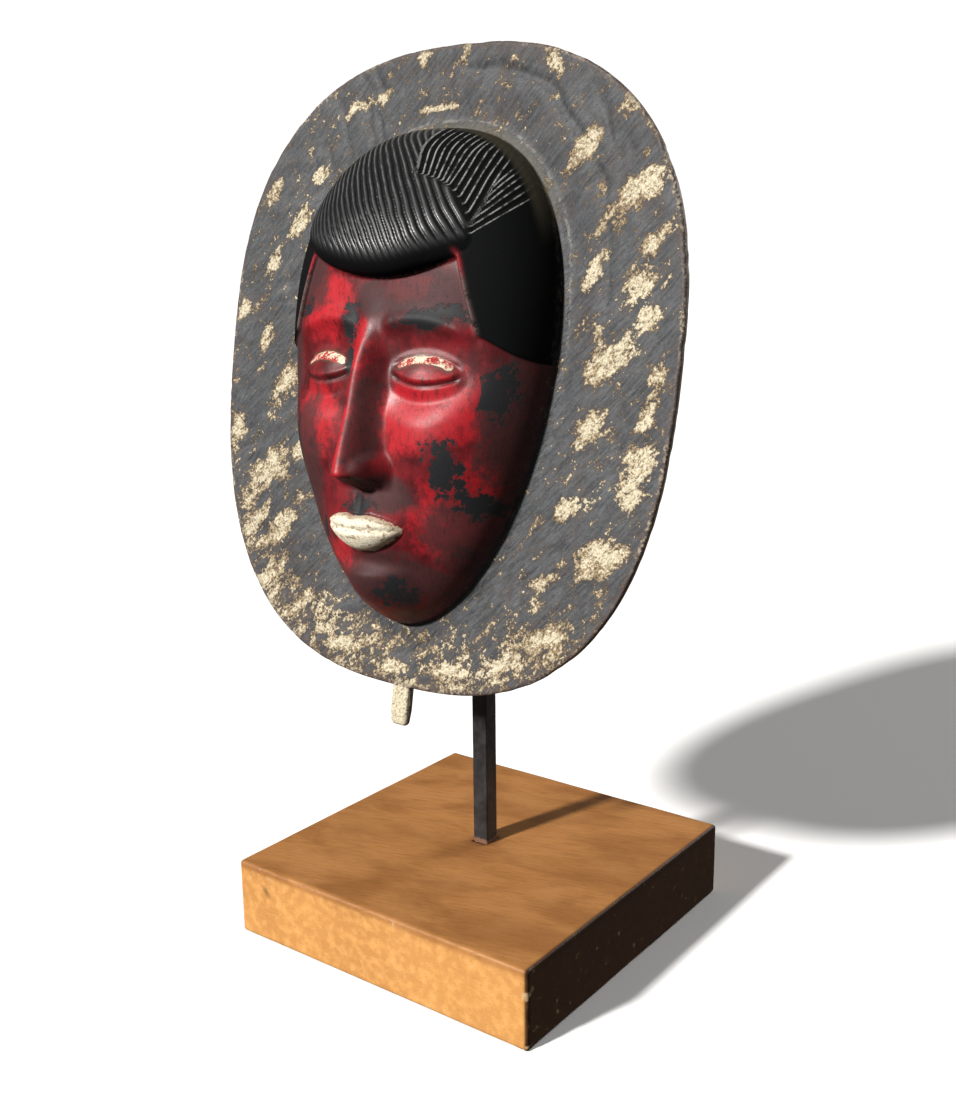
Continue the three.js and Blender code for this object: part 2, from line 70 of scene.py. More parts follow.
# The oval plate.
PLATE_HALF_WIDTH = 147
PLATE_ABOVE = 153
PLATE_BELOW = 179
PLATE_FULLNESS_ABOVE = 2.48
PLATE_FULLNESS_BELOW = 2.62
PLATE_THICKNESS = 20
RIM_THICKNESS = 6
RIM_ROUND = 1.8
RIM_WEAR = 1.3
BACK_BEVEL = 26
TROUGH = 2
TROUGH_WIDTH = 22

# The head in relief.
HEAD_HALF_WIDTH = 80
HEAD_ABOVE = 100
HEAD_BELOW = 155
HEAD_CENTRE = 10
HEAD_RELIEF = 45
HEAD_FULLNESS_ABOVE = 2.3
HEAD_FULLNESS_BELOW = 1.85
WALL_FULLNESS = 2.6

# The mesh: columns and rows of the grid over the head and rings over the plate, which close up
# towards the head's wall and foot. The back has one point for every few of the rim's.
HEAD_COLUMNS = 216
HEAD_ROWS = 288
WALL_CROWDING = 1.25
PLATE_RINGS = 38
PLATE_CROWDING = 1.1
BACK_CROWDING = 1.1
BACK_EVERY = 2

# A drawing book's canon: eyes halfway up the head, and equal thirds from hairline to brow, brow
# to nose and nose to chin.
HEAD_HEIGHT = HEAD_ABOVE + HEAD_BELOW
CHIN = HEAD_CENTRE - HEAD_BELOW
THIRD = HEAD_HEIGHT * 7 / 8 / 3
EYE_UP = CHIN + HEAD_HEIGHT / 2
EYE_SIDE = 2 * HEAD_HALF_WIDTH / 5
BROW_UP = CHIN + 2 * THIRD
NOSE_UP = CHIN + THIRD
MOUTH_UP = CHIN + 2 / 3 * THIRD

# Rounded swellings and hollows of the face, the same on both sides: how far they lie from the
# middle and how high, half their width and height, how far they rise, and their fullness.
SWELLINGS = {
    "eye_hollow": (EYE_SIDE - 1, EYE_UP + 3, 34, 29, -6.5, 1),
    "eyelid": (EYE_SIDE, EYE_UP, 22, 14, 7.5, 0.85),
    "nostril_wing": (12, NOSE_UP + 6.5, 7.5, 8.5, 5.5, 0.8),
    "nostril": (6.5, NOSE_UP - 0.5, 4.5, 3.2, -3.5, 1),
    "cheek": (42, NOSE_UP + 22, 34, 36, 5, 1),
    "muzzle": (0, MOUTH_UP + 2, 42, 32, 5, 1),
    "lip_groove": (0, MOUTH_UP + 15, 3.6, 10, -1.4, 1),
    "under_lip": (0, MOUTH_UP - 16, 25, 8, -3.5, 1),
    "chin": (0, CHIN + 20, 28, 23, 9, 0.8),
}
NOSE_HALF_WIDTH = 12
NOSE_WIDENING = 4
NOSE_FLARE = 4
NOSE_BRIDGE = 6.5
NOSE_RISE = 11.5
NOSE_TIP = 3
BROW_RISE = 2.6
BROW_HALF_WIDTH = 4.2
SLIT_DEPTH = 1.7
FOLD_DEPTH = 1.1
LID_RIM = 0.6
MOUTH_HALF_WIDTH = 24
UPPER_LIP = 8.5
LOWER_LIP = 10.5
LIP_RISE = 7.5
LIP_DIP = 1.6
LIP_SEAM = 2.4

# Hair: a swept fringe of round ribs, a fan of flutes beside it and smooth temples.
HAIR_THICKNESS = 2.6
FRINGE_LOW = 28
FRINGE_LOW_MIDDLE = 5
FRINGE_LOW_RISE = 14
FRINGE_HALF_WIDTH = 53
FRINGE_RIGHT = 45.5
FRINGE_MIDDLE = (5, 40)
FRINGE_HEIGHT = 39.5
FRINGE_FULLNESS = 2.3
FRINGE_THICKNESS = 14
FRINGE_ROLL = 17
FRINGE_FAR = (75, 56)
RIB_TILT = math.radians(34)
RIB_BEND = 0.0033
RIB_BEND_FROM = 50
RIB_PERIOD = 3.6
RIB_DEPTH = 1.5
# The flutes beside the fringe were cut along one line of sight. Seen along it, in millimetres to
# the right of the fringe's corner and above it, each edge between two flutes passes a place and
# leans to the right by some degrees: over the crown, upright, and branching off.
FAN_CORNER = (48, 50, 37)
FAN_RIGHT = (0.791, 0.091, -0.605)
FAN_UP = (0.033, 1.015, 0.202)
FAN_EDGES = [
    *((-23.1 + 3.1 * k, 33, 9.5 + 3.6 * k) for k in range(8)),
    *((-3 + 4.1 * k, 24.5, 31) for k in range(5)),
    *((16 - 3 * k, 25.4 - 5.2 * k, 48 + 2.2 * k) for k in range(6)),
]
FAN_FLUTES = len(FAN_EDGES) - 1
FAN_BEND = 0.05
FAN_BEND_FROM = 38
FAN_DEPTH = 1.5
TEMPLE_FRONT = 52
TEMPLE_MIDDLE = 20
TEMPLE_SLANT = 0.33
TEMPLE_LOW = 4
TEMPLE_DROP = 11

# Gouge marks as length and width in millimetres and degrees from level, and how deep they,
# the long gashes, the crease round the head and the plate's waves are.
MARKS_LEFT = (32, 8, 24)
MARKS_RIGHT = (40, 8, 47)
MARKS_TOP = (46, 10, 78)
MARKS_BACK = (26, 13, 80)
MARK_DEPTH = 1.5
BACK_MARK_DEPTH = 0.9
GASH_RIGHT = 43
GASH_TOP = 110
GASH_DEPTH = 1.3
CREASE_AWAY = 25
CREASE_DEPTH = 1.1
WAVE_DEPTH = 0.8

# The hollow in the back, behind the face.
HOLLOW_HALF_WIDTH = 56
HOLLOW_HALF_HEIGHT = 84
HOLLOW_CENTRE = -28
HOLLOW_DEPTH = 42
HOLLOW_FULLNESS = 2.2

# The tab under the plate.
TAB_WIDTH = 11
TAB_LENGTH = 20.5
TAB_SIDEWAYS = 2
TAB_ROOT = 6

# Room between pieces that touch, and the edges of the board and of the bar.
CLEARANCE = 0.3
BOARD_EDGE = 1.9
ROD_EDGE = 0.8

# The camera that the photograph's own lines give, in metres and pixels of its frame.
CAMERA_PLACE = (0.4139, -0.5499, 0.3782)
CAMERA_AZIMUTH = math.radians(37.09)
CAMERA_DOWN = math.radians(12.93)
CAMERA_ROLL = math.radians(-0.71)
FOCAL_PIXELS = 1270.6
FRAME_LONG_SIDE = 1098
SENSOR = 36

# Studio light: a soft sun from the front left, a weak light from behind and an even sky.
BACK_LIGHT_TOWARDS = (-0.25, -0.90, -0.36)
BACK_LIGHT_STRENGTH = 1.8
BACK_LIGHT_WIDTH = math.radians(20)
SUN_TOWARDS = (0.239, 0.8325, -0.5)
SUN_STRENGTH = 6.6
SUN_WIDTH = math.radians(5)
SUN_COLOUR = (1.0, 0.98, 0.95)
SKY_STRENGTH = 0.10
BACKDROP_STRENGTH = 1.05
FLOOR_RADIUS = 14.0
FLOOR_SIDES = 96


# Fields over the carving

def smooth(low, high, x):
    t = np.clip((x - low) / (high - low), 0, 1)
    return t * t * (3 - 2 * t)


def mound(u, v, half_width, half_height):
    squared = (u / half_width) ** 2 + (v / half_height) ** 2
    return np.clip(1 - squared, 0, 1) ** 2


def line(distance, width):
    return np.exp(-((distance / width) ** 2))


def blend(a, b, t):
    return a + (b - a) * t


def turned(u, v, degrees):
    """Places along and across a direction that lies some degrees from level."""
    c, s = math.cos(math.radians(degrees)), math.sin(math.radians(degrees))
    return u * c + v * s, v * c - u * s


def share(u, v, half_width, half_height, fullness):
    """Share of the way from the centre to a superellipse."""
    wide = (np.abs(u) / half_width) ** fullness
    high = (np.abs(v) / half_height) ** fullness
    return (wide + high) ** (1 / fullness)


def plate_share(u, v):
    above = share(u, v, PLATE_HALF_WIDTH, PLATE_ABOVE, PLATE_FULLNESS_ABOVE)
    below = share(u, v, PLATE_HALF_WIDTH, PLATE_BELOW, PLATE_FULLNESS_BELOW)
    return np.where(v > 0, above, below)


def head_share(u, v):
    up = v - HEAD_CENTRE
    above = share(u, up, HEAD_HALF_WIDTH, HEAD_ABOVE, HEAD_FULLNESS_ABOVE)
    below = share(u, up, HEAD_HALF_WIDTH, HEAD_BELOW, HEAD_FULLNESS_BELOW)
    return np.where(up > 0, above, below)


def value_noise(x, y, seed):
    """Smooth noise between -1 and 1 with features one unit wide."""
    size = 128
    lattice = np.random.default_rng(seed).uniform(-1, 1, (size, size))
    i, j = np.floor(x).astype(int), np.floor(y).astype(int)
    a, b = x - i, y - j
    a, b = a * a * (3 - 2 * a), b * b * (3 - 2 * b)
    corner = lambda p, q: lattice[(i + p) % size, (j + q) % size]
    near = corner(0, 0) * (1 - a) + corner(1, 0) * a
    far = corner(0, 1) * (1 - a) + corner(1, 1) * a
    return near * (1 - b) + far * b


def rough_noise(x, y, seed, octaves=4):
    total = sum(value_noise(x * 2**k, y * 2**k, seed + k) / 2**k for k in range(octaves))
    return total / (2 - 2 ** (1 - octaves))


def scoops(u, v, marks, seed):
    """Shallow gouge cuts side by side: 0 in a cut's middle, rising to 1 at its edges."""
    length, width, degrees = marks
    along, across = turned(u, v, degrees)
    along, across = along / length, across / width
    along = along + 0.35 * value_noise(along, across / 3, seed + 50)
    across = across + 0.45 * value_noise(along / 1.5, across / 4, seed + 51)
    jitter = np.random.default_rng(seed).uniform(-0.4, 0.4, (64, 64, 2))
    nearest = np.full(np.shape(u), 9.0)
    i0, j0 = np.floor(along).astype(int), np.floor(across).astype(int)
    for di in (-1, 0, 1):
        for dj in (-1, 0, 1):
            i, j = i0 + di, j0 + dj
            shift = jitter[i % 64, j % 64]
            a = along - i - 0.5 - shift[..., 0]
            b = across - j - 0.5 - shift[..., 1]
            nearest = np.minimum(nearest, a * a + b * b)
    return np.clip(nearest, 0, 1)


# The face

def swellings_height(u, v):
    total = 0
    for side, up, half_width, half_height, rise, fullness in SWELLINGS.values():
        swelling = mound(np.abs(u) - side, v - up, half_width, half_height)
        total = total + rise * swelling**fullness
    return total


def nose_height(u, v):
    """The nose grows from the brow, 0, to its underside, 1."""
    down = (BROW_UP - v) / (BROW_UP - NOSE_UP)
    along = np.clip(down, 0, 1)
    half_width = NOSE_HALF_WIDTH + NOSE_WIDENING * along + NOSE_FLARE * smooth(0.72, 1, along)
    height = NOSE_BRIDGE + NOSE_RISE * along + NOSE_TIP * smooth(0.55, 0.95, along)
    bell = 0.5 + 0.5 * np.cos(np.pi * np.clip(np.abs(u) / half_width, 0, 1))
    ends = smooth(-0.3, 0.3, down) * (1 - smooth(0.975, 1.06, down))
    return height * bell * ends


def lid_curve(u):
    """Height of the closed lids' meeting line."""
    return EYE_UP - 5 + 0.015 * (np.abs(u) - EYE_SIDE) ** 2


def fold_curve(u):
    return EYE_UP + 9.5 - 0.017 * (np.abs(u) - EYE_SIDE) ** 2


def brow_curve(u):
    return BROW_UP + 4.5 - 0.008 * (np.abs(u) - 27) ** 2


def along_lid(u):
    """1 along the eyelids, fading out at their ends."""
    return smooth(19, 15, np.abs(np.abs(u) - EYE_SIDE))


def eye_lines_height(u, v):
    """The closed lids' slit and rim, the fold over them and the eyebrow."""
    slit = -SLIT_DEPTH * line(v - lid_curve(u), 1.0)
    fold = -FOLD_DEPTH * line(v - fold_curve(u), 1.1)
    rim = LID_RIM * line(v - lid_curve(u) - 2.4, 1.6)
    window = smooth(6, 14, np.abs(u)) * smooth(58, 48, np.abs(u))
    brow = BROW_RISE * line(v - brow_curve(u), BROW_HALF_WIDTH) * window
    return (slit + fold + rim) * along_lid(u) + brow


def lips(u, v):
    """Height of the lips, and how far inside their outline a point is, in millimetres."""
    q = np.clip(1 - (u / MOUTH_HALF_WIDTH) ** 2, 0, 1)
    meet = MOUTH_UP + 0.004 * u**2
    least = 0.01
    upper = UPPER_LIP * q**0.75 - LIP_DIP * line(u, 4.5) * q + least
    lower = LOWER_LIP * q**0.85 + least
    up = v - meet
    toward = np.clip(np.where(up > 0, up / upper, -up / lower), 0, 1)
    height = LIP_RISE * q**0.45 * np.sqrt(1 - toward**2.2) - LIP_SEAM * line(up, 1.0) * q**0.3
    inside = np.where(up > 0, upper - up, lower + up)
    return height, np.where(q > 0, inside, -1.0)


# The hair

def fringe_low(u):
    side = u - FRINGE_LOW_MIDDLE
    half_width = np.where(side > 0, FRINGE_RIGHT, FRINGE_HALF_WIDTH)
    return FRINGE_LOW + FRINGE_LOW_RISE * (side / half_width) ** 2


def rib_number(u, v):
    """Place across the ribs, in millimetres. They lean, and bend further over the crown."""
    bend = RIB_BEND * np.maximum(v - RIB_BEND_FROM, 0) ** 2
    return u * math.cos(RIB_TILT) + v * math.sin(RIB_TILT) + bend


def bare_head(u, v):
    """Height of the head without its features over the plate's face."""
    wall = np.clip(1 - np.minimum(head_share(u, v), 1) ** WALL_FULLNESS, 0, 1)
    return (HEAD_RELIEF + TROUGH) * np.sqrt(wall) - TROUGH


def seen(u, v):
    """Where a place of the hair appears along the flutes' line of sight."""
    w = bare_head(u, v) + HAIR_THICKNESS
    place = [x - corner for x, corner in zip((u, v, w), FAN_CORNER)]
    right, up = (sum(a * b for a, b in zip(axis, place)) for axis in (FAN_RIGHT, FAN_UP))
    return right - FAN_BEND * np.maximum(up - FAN_BEND_FROM, 0) ** 2, up


def right_of(edge, right, up):
    """How far a seen place lies to the right of an edge, in millimetres."""
    side, height, lean = edge
    lean = math.radians(lean)
    return (right - side) * math.cos(lean) - (up - height) * math.sin(lean)


def inside_ribs(u, v):
    """How far inside the ribbed part of the hair a point is, in millimetres."""
    across = np.maximum(u - FRINGE_MIDDLE[0], 0)
    up = np.maximum(v - FRINGE_MIDDLE[1], 0)
    edge = share(across, up, FRINGE_RIGHT, FRINGE_HEIGHT, FRINGE_FULLNESS)
    return np.maximum((1 - edge) * FRINGE_HEIGHT, -right_of(FAN_EDGES[0], *seen(u, v)))


def fringe_thickness(u, v):
    above = np.clip((v - fringe_low(u)) / FRINGE_ROLL, 0, 1)
    left = smooth(FRINGE_MIDDLE[0] + 15, FRINGE_MIDDLE[0] - 15, u)
    dome = share(
        u - FRINGE_MIDDLE[0],
        np.maximum(v - FRINGE_MIDDLE[1], 0),
        blend(FRINGE_RIGHT + 6, FRINGE_FAR[0], left),
        blend(FRINGE_HEIGHT + 6, FRINGE_FAR[1], left),
        FRINGE_FULLNESS,
    )
    rolled = np.sqrt(1 - (1 - above) ** 2)
    return FRINGE_THICKNESS * rolled * (1 - 0.72 * smooth(0.3, 1.05, dome))


def rib_phase(u, v):
    """Counts the ribs from left to right; whole numbers lie in the grooves between them."""
    wander = 0.5 * value_noise(u / 22, v / 22, SEED + 4) + 0.3 * value_noise(u / 7, v / 7, SEED + 6)
    return (rib_number(u, v) + wander) / RIB_PERIOD


def flutes(u, v):
    """Counts the flutes from left to right, whole numbers lying on the edges between them, and
    gives each one's width in millimetres."""
    right, up = seen(u, v)
    right = right + 0.35 * value_noise(u / 13, v / 13, SEED + 5)
    away = right_of(FAN_EDGES[0], right, up)
    phase, width = away / 4, np.full_like(u, 4.0)
    passed = away >= 0
    for number, edge in enumerate(FAN_EDGES[1:]):
        beyond = right_of(edge, right, up)
        between = passed & (beyond < 0)
        gap = np.maximum(away - beyond, 0.1)
        phase = np.where(between, number + away / gap, phase)
        width = np.where(between, gap, width)
        passed = passed & (beyond >= 0)
        away = beyond
    phase = np.where(passed, FAN_FLUTES + away / 4, phase)
    return phase, np.where(passed, 4, width)


def temple_front(v):
    return TEMPLE_FRONT + TEMPLE_SLANT * (TEMPLE_MIDDLE - v)


def hairline(u, v):
    """How far inside the hair's outline a point is, in millimetres."""
    side = np.abs(u)
    drop = TEMPLE_DROP * smooth(TEMPLE_FRONT, HEAD_HALF_WIDTH, side)
    temple = np.minimum(side - temple_front(v), v - TEMPLE_LOW + drop)
    return np.maximum(temple, v - fringe_low(u))


def temple_edge(u, v):
    """1 on the straight edge in front of each temple."""
    extent = smooth(TEMPLE_LOW - 3, TEMPLE_LOW + 2, v) * smooth(44, 38, v)
    return line(np.abs(u) - temple_front(v) - 0.4, 1.3) * extent


def hair_height(u, v):
    above = v - fringe_low(u)
    ribbed = smooth(-0.6, 0.6, inside_ribs(u, v)) * smooth(0, 0.8, above)
    rib = np.abs(np.sin(np.pi * rib_phase(u, v)))
    on_crest = smooth(0.4, 0.9, above / FRINGE_ROLL)
    phase, _ = flutes(u, v)
    in_fan = smooth(FAN_FLUTES + 0.12, FAN_FLUTES - 0.12, phase) * (phase > 0)
    fan = np.abs(np.sin(np.pi * phase)) * in_fan
    here = smooth(-0.7, 0.9, hairline(u, v))
    plain = (HAIR_THICKNESS - FAN_DEPTH * fan) * here
    ribs = np.maximum(fringe_thickness(u, v), HAIR_THICKNESS * smooth(0, 0.4, above / FRINGE_ROLL))
    ribs = ribs + RIB_DEPTH * (rib**0.6 - 1) * on_crest
    return blend(plain, ribs, ribbed) + 0.9 * temple_edge(u, v)


def gashes(u, v, degrees, seed):
    """Long narrow cuts that run some degrees from level: 1 where they are deepest."""
    along, across = turned(u, v, degrees)
    cut = 1 - np.abs(rough_noise(along / 42, across / 6, seed, 2)) / 0.26
    return np.clip(cut, 0, 1) * smooth(0.05, 0.4, value_noise(u / 30, v / 30, seed + 1))


def plate_height(u, v, away):
    """Tool marks of the plate's front: steep at the top, slanting at the sides."""
    right = scoops(u, v, MARKS_RIGHT, SEED)
    left = scoops(u, v, MARKS_LEFT, SEED + 1)
    top = scoops(u, v, MARKS_TOP, SEED + 2)
    cuts = blend(left, right, smooth(-20, 20, u))
    cuts = blend(cuts, top, smooth(95, 125, v))
    slanting, steep = gashes(u, v, GASH_RIGHT, SEED + 12), gashes(u, v, GASH_TOP, SEED + 16)
    gash = blend(slanting, steep, smooth(80, 110, v))
    crease_at = CREASE_AWAY + 3 * value_noise(u / 16, v / 16, SEED + 14)
    crease = line(away - crease_at, 1.9) * smooth(-10, 25, u) * smooth(-20, 30, v)
    waves = WAVE_DEPTH * (rough_noise(u / 45, v / 45, SEED + 9) - 1)
    marks = MARK_DEPTH * (cuts - 1) + waves - GASH_DEPTH * gash - CREASE_DEPTH * crease
    from_rim = (1 - plate_share(u, v)) * PLATE_HALF_WIDTH
    return marks * smooth(0, 6, away) * blend(0.5, 1, smooth(2, 16, from_rim))


def front_height(u, v):
    """Height of the carved front over the plate's face."""
    to_edge = head_share(u, v)
    away = (to_edge - 1) * HEAD_HALF_WIDTH
    plate = -TROUGH * (1 - smooth(0, TROUGH_WIDTH, away)) + plate_height(u, v, away)
    wall = np.sqrt(np.clip(1 - np.minimum(to_edge, 1) ** WALL_FULLNESS, 0, 1))
    face = swellings_height(u, v) + nose_height(u, v) + eye_lines_height(u, v) + lips(u, v)[0]
    features = face + hair_height(u, v)
    head = bare_head(u, v) + features * smooth(0, 0.6, wall)
    return np.where(to_edge < 1, head, plate)


def back_height(u, v):
    """Height of the back: a flat with a bowl behind the face."""
    out = share(u, v - HOLLOW_CENTRE, HOLLOW_HALF_WIDTH, HOLLOW_HALF_HEIGHT, HOLLOW_FULLNESS)
    bowl = HOLLOW_DEPTH * np.sqrt(np.clip(1 - out**2.2, 0, 1))
    cuts = BACK_MARK_DEPTH * scoops(u, v, MARKS_BACK, SEED + 20)
    return -PLATE_THICKNESS + bowl + cuts


# Meshes

def reach(outline, angle):
    """Distance from the head's middle to an outline along each angle."""
    near = np.zeros_like(angle)
    far = np.full_like(angle, 3.0 * PLATE_BELOW)
    for _ in range(40):
        r = (near + far) / 2
        inside = outline(r * np.cos(angle), HEAD_CENTRE + r * np.sin(angle)) < 1
        near, far = np.where(inside, r, near), np.where(inside, far, r)
    return near


def bent_grid(columns, rows, outline, crowd):
    """A square grid bent to an outline: the points' u and v, and the border in order."""
    x, y = np.meshgrid(np.linspace(-1, 1, columns + 1), np.linspace(-1, 1, rows + 1))
    a, b = x * np.sqrt(1 - y * y / 2), y * np.sqrt(1 - x * x / 2)
    out = np.clip(np.hypot(a, b), 0, 1)
    angle = np.arctan2(b * HEAD_HEIGHT, a * 2 * HEAD_HALF_WIDTH)
    r = (1 - (1 - out) ** crowd) * reach(outline, angle)
    number = np.arange((columns + 1) * (rows + 1)).reshape(rows + 1, columns + 1)
    border = np.concatenate([number[0, :-1], number[:-1, -1], number[-1, :0:-1], number[:0:-1, 0]])
    quads = np.stack(
        [number[:-1, :-1], number[:-1, 1:], number[1:, 1:], number[1:, :-1]], -1
    ).reshape(-1, 4)
    return (r * np.cos(angle)).ravel(), HEAD_CENTRE + (r * np.sin(angle)).ravel(), border, quads


def rim_wear(angle):
    """How far the worn rim has drawn in, in millimetres."""
    around = angle * 18
    dents = np.clip(rough_noise(around, around * 0.3 + 5, SEED + 30), 0, 1)
    return RIM_WEAR * (0.25 + 0.75 * dents**1.3) + 0.15


def zipped(fine, coarse, every):
    """Triangles between a ring and one with fewer points, a point for each few of the first."""
    triangles = []
    for k, here in enumerate(coarse):
        after = coarse[(k + 1) % len(coarse)]
        row = [fine[(k * every + i) % len(fine)] for i in range(every + 1)]
        middle = every // 2
        for i in range(every):
            triangles.append((row[i], here if i < middle else after, row[i + 1]))
        triangles.append((row[middle], here, after))
    return triangles


def mask_surface():
    """The whole skin of the mask: points (u, v, w) and faces."""
    u, v, border, quads = bent_grid(HEAD_COLUMNS, HEAD_ROWS, head_share, WALL_CROWDING)
    w = front_height(u, v)
    w[border] = -TROUGH
    points = [np.stack([u, v, w], -1)]
    faces = [tuple(quad) for quad in quads.tolist()]
    angle = np.arctan2(v[border] - HEAD_CENTRE, u[border])[::2]
    to_head = reach(head_share, angle)
    to_rim = reach(plate_share, angle) - rim_wear(angle)
    count = len(u)
    rings = []

    def add_ring(r, heights):
        nonlocal count
        place_u, place_v = r * np.cos(angle), HEAD_CENTRE + r * np.sin(angle)
        points.append(np.stack([place_u, place_v, heights(place_u, place_v)], -1))
        rings.append(range(count, count + len(angle)))
        count += len(angle)

    flat = lambda height: lambda a, b: np.full_like(a, height)
    for n in range(1, PLATE_RINGS + 1):
        t = (n / PLATE_RINGS) ** PLATE_CROWDING
        add_ring(to_head + t * (to_rim - RIM_ROUND - to_head), front_height)

    # Round the rim, which is thin and worn uneven.
    soft = 0.35 * rough_noise(angle * 30, angle * 9, SEED + 33)
    add_ring(to_rim - 0.45 * RIM_ROUND, lambda a, b: front_height(a, b) * 0.6 - 0.35)
    add_ring(to_rim, lambda a, b: -RIM_ROUND + soft)
    add_ring(to_rim - 0.1 + soft, flat(-RIM_THICKNESS / 2 - 0.4))
    add_ring(to_rim - 0.3, flat(-RIM_THICKNESS + RIM_ROUND / 2))
    add_ring(to_rim - RIM_ROUND, flat(-RIM_THICKNESS))
    faces += zipped(border.tolist(), rings[0], 2)
    for inner, outer in zip(rings, rings[1:]):
        for k in range(len(inner)):
            after = (k + 1) % len(inner)
            faces.append((inner[k], outer[k], outer[after], inner[after]))

    # The back starts a little inside the rim and slopes up to its flat.
    slope_start = lambda a, b: plate_share(a, b) * PLATE_BELOW / (PLATE_BELOW - RIM_ROUND - 3)
    back_u, back_v, back_border, back_quads = bent_grid(
        HEAD_COLUMNS // 2 // BACK_EVERY, HEAD_ROWS // 2 // BACK_EVERY, slope_start, BACK_CROWDING
    )
    from_rim = (1 - plate_share(back_u, back_v)) * PLATE_HALF_WIDTH
    slope = np.clip((from_rim - RIM_ROUND) / (BACK_BEVEL - RIM_ROUND), 0, 1)
    back_w = blend(-RIM_THICKNESS - 0.6, back_height(back_u, back_v), slope)
    points.append(np.stack([back_u, back_v, back_w], -1))
    faces += zipped(rings[-1], (back_border + count).tolist(), BACK_EVERY)
    faces += [tuple(k + count for k in quad[::-1]) for quad in back_quads.tolist()]
    return np.concatenate(points), faces


def to_row(points):
    """From the mask's own millimetres to the row's metres."""
    u, v, w = points[:, 0], points[:, 1], points[:, 2]
    across, forward = math.cos(LEAN_BACK), math.sin(LEAN_BACK)
    x = PLATE_CENTRE[0] + u
    y = PLATE_CENTRE[1] - w * across + v * forward
    z = PLATE_CENTRE[2] + w * forward + v * across
    return np.stack([x, y, z], -1) * MM


def put_in(name, data):
    """A new object in the scene."""
    piece = bpy.data.objects.new(name, data)
    bpy.context.scene.collection.objects.link(piece)
    return piece


def new_piece(name, points, faces, material):
    mesh = bpy.data.meshes.new(name)
    mesh.from_pydata([tuple(p) for p in points], [], faces)
    mesh.update()
    mesh.shade_smooth()
    mesh.materials.append(material)
    return put_in(name, mesh)


def set_attribute(piece, name, values):
    layer = piece.data.attributes.new(name, "FLOAT", "POINT")
    layer.data.foreach_set("value", np.asarray(values, dtype=np.float32))


# Paint

# Spots worn to bare wood on the plate: place in the mask's frame, length and width in millimetres
# and tilt in degrees from level.
BARE_SPOTS = [
    (84, 97, 27, 10, 48), (118, 77, 42, 15, 30), (128, 52, 22, 10, 40), (97, 40, 24, 10, 62),
    (119, 31, 26, 17, 55), (127, 16, 18, 12, 50), (108, -2, 34, 17, 50), (136, -8, 14, 9, 70),
    (132, -26, 26, 9, 65), (101, -36, 26, 13, 48), (129, -54, 38, 19, 74), (113, -97, 32, 19, 25),
    (92, -76, 18, 11, 40), (92, -138, 34, 14, 30), (68, -154, 36, 11, 12), (84, -112, 16, 9, 30),
    (126, 104, 30, 11, -50), (108, 122, 30, 10, -45), (62, 139, 20, 9, -60), (-47, 131, 16, 6, 20),
    (-66, 126, 18, 6, 30), (-101, 66, 22, 15, 50), (-119, 46, 18, 9, 60), (-88, 92, 16, 10, 45),
    (-122, 84, 18, 9, 60), (-140, 18, 16, 9, 80), (-102, -25, 30, 19, 60), (-120, 2, 16, 9, 70),
    (-139, -54, 26, 12, 75), (-110, -74, 44, 22, 35), (-96, -104, 30, 12, 40),
    (-118, -104, 30, 12, 50), (-101, -130, 34, 12, 40), (-78, -146, 32, 10, 35),
    (-43, -163, 36, 9, 10), (-8, -169, 34, 9, 0), (32, -165, 40, 9, 5), (-86, -60, 18, 10, 55),
    (8, 147, 16, 6, 80), (-20, 148, 12, 7, 70), (-8, 122, 30, 3, 2),
]
# Places where black paint lies over or shows through the red: place, length, width and tilt.
BLACK_SPOTS = [
    (-12, 6, 26, 15, 80), (-14, -12, 18, 7, 100), (36, 10, 38, 11, 8), (46, -62, 34, 20, 100),
    (56, -78, 24, 12, 20), (0, -84, 20, 12, 0), (14, -126, 22, 14, 30), (-52, -52, 30, 8, 85),
    (66, -24, 30, 14, 80), (-50, 14, 16, 9, 30), (-34, -100, 20, 7, 70),
]
# Where the red is bright, and where it is dulled to a dusky brown.
BRIGHT_SPOTS = [
    (-30, 14, 44, 34, 20), (-6, -8, 20, 40, 0), (0, -50, 16, 50, 0), (34, -36, 70, 40, 10),
    (48, -78, 60, 34, 60), (-34, -40, 34, 40, 0), (22, 24, 30, 16, 10), (-16, -110, 30, 20, 0),
]
DUSK_SPOTS = [
    (26, 20, 62, 34, 0), (-44, 26, 22, 30, 0), (74, -50, 30, 110, 0), (10, -118, 60, 30, 0),
    (-64, -20, 20, 90, 0), (14, -76, 40, 16, 0), (60, -100, 50, 60, 40), (-42, -64, 76, 26, 84),
    (7, -44, 56, 12, 88), (2, 18, 26, 20, 0),
]


def spots_field(u, v, spots):
    """Above 0 inside the spots, up to 1 in their middles, and down to -1 far from them."""
    field = np.full_like(u, -1.0)
    for side, up, length, width, tilt in spots:
        along, across = turned(u - side, v - up, tilt)
        squared = (2 * along / length) ** 2 + (2 * across / width) ** 2
        field = np.maximum(field, 1 - squared)
    return field


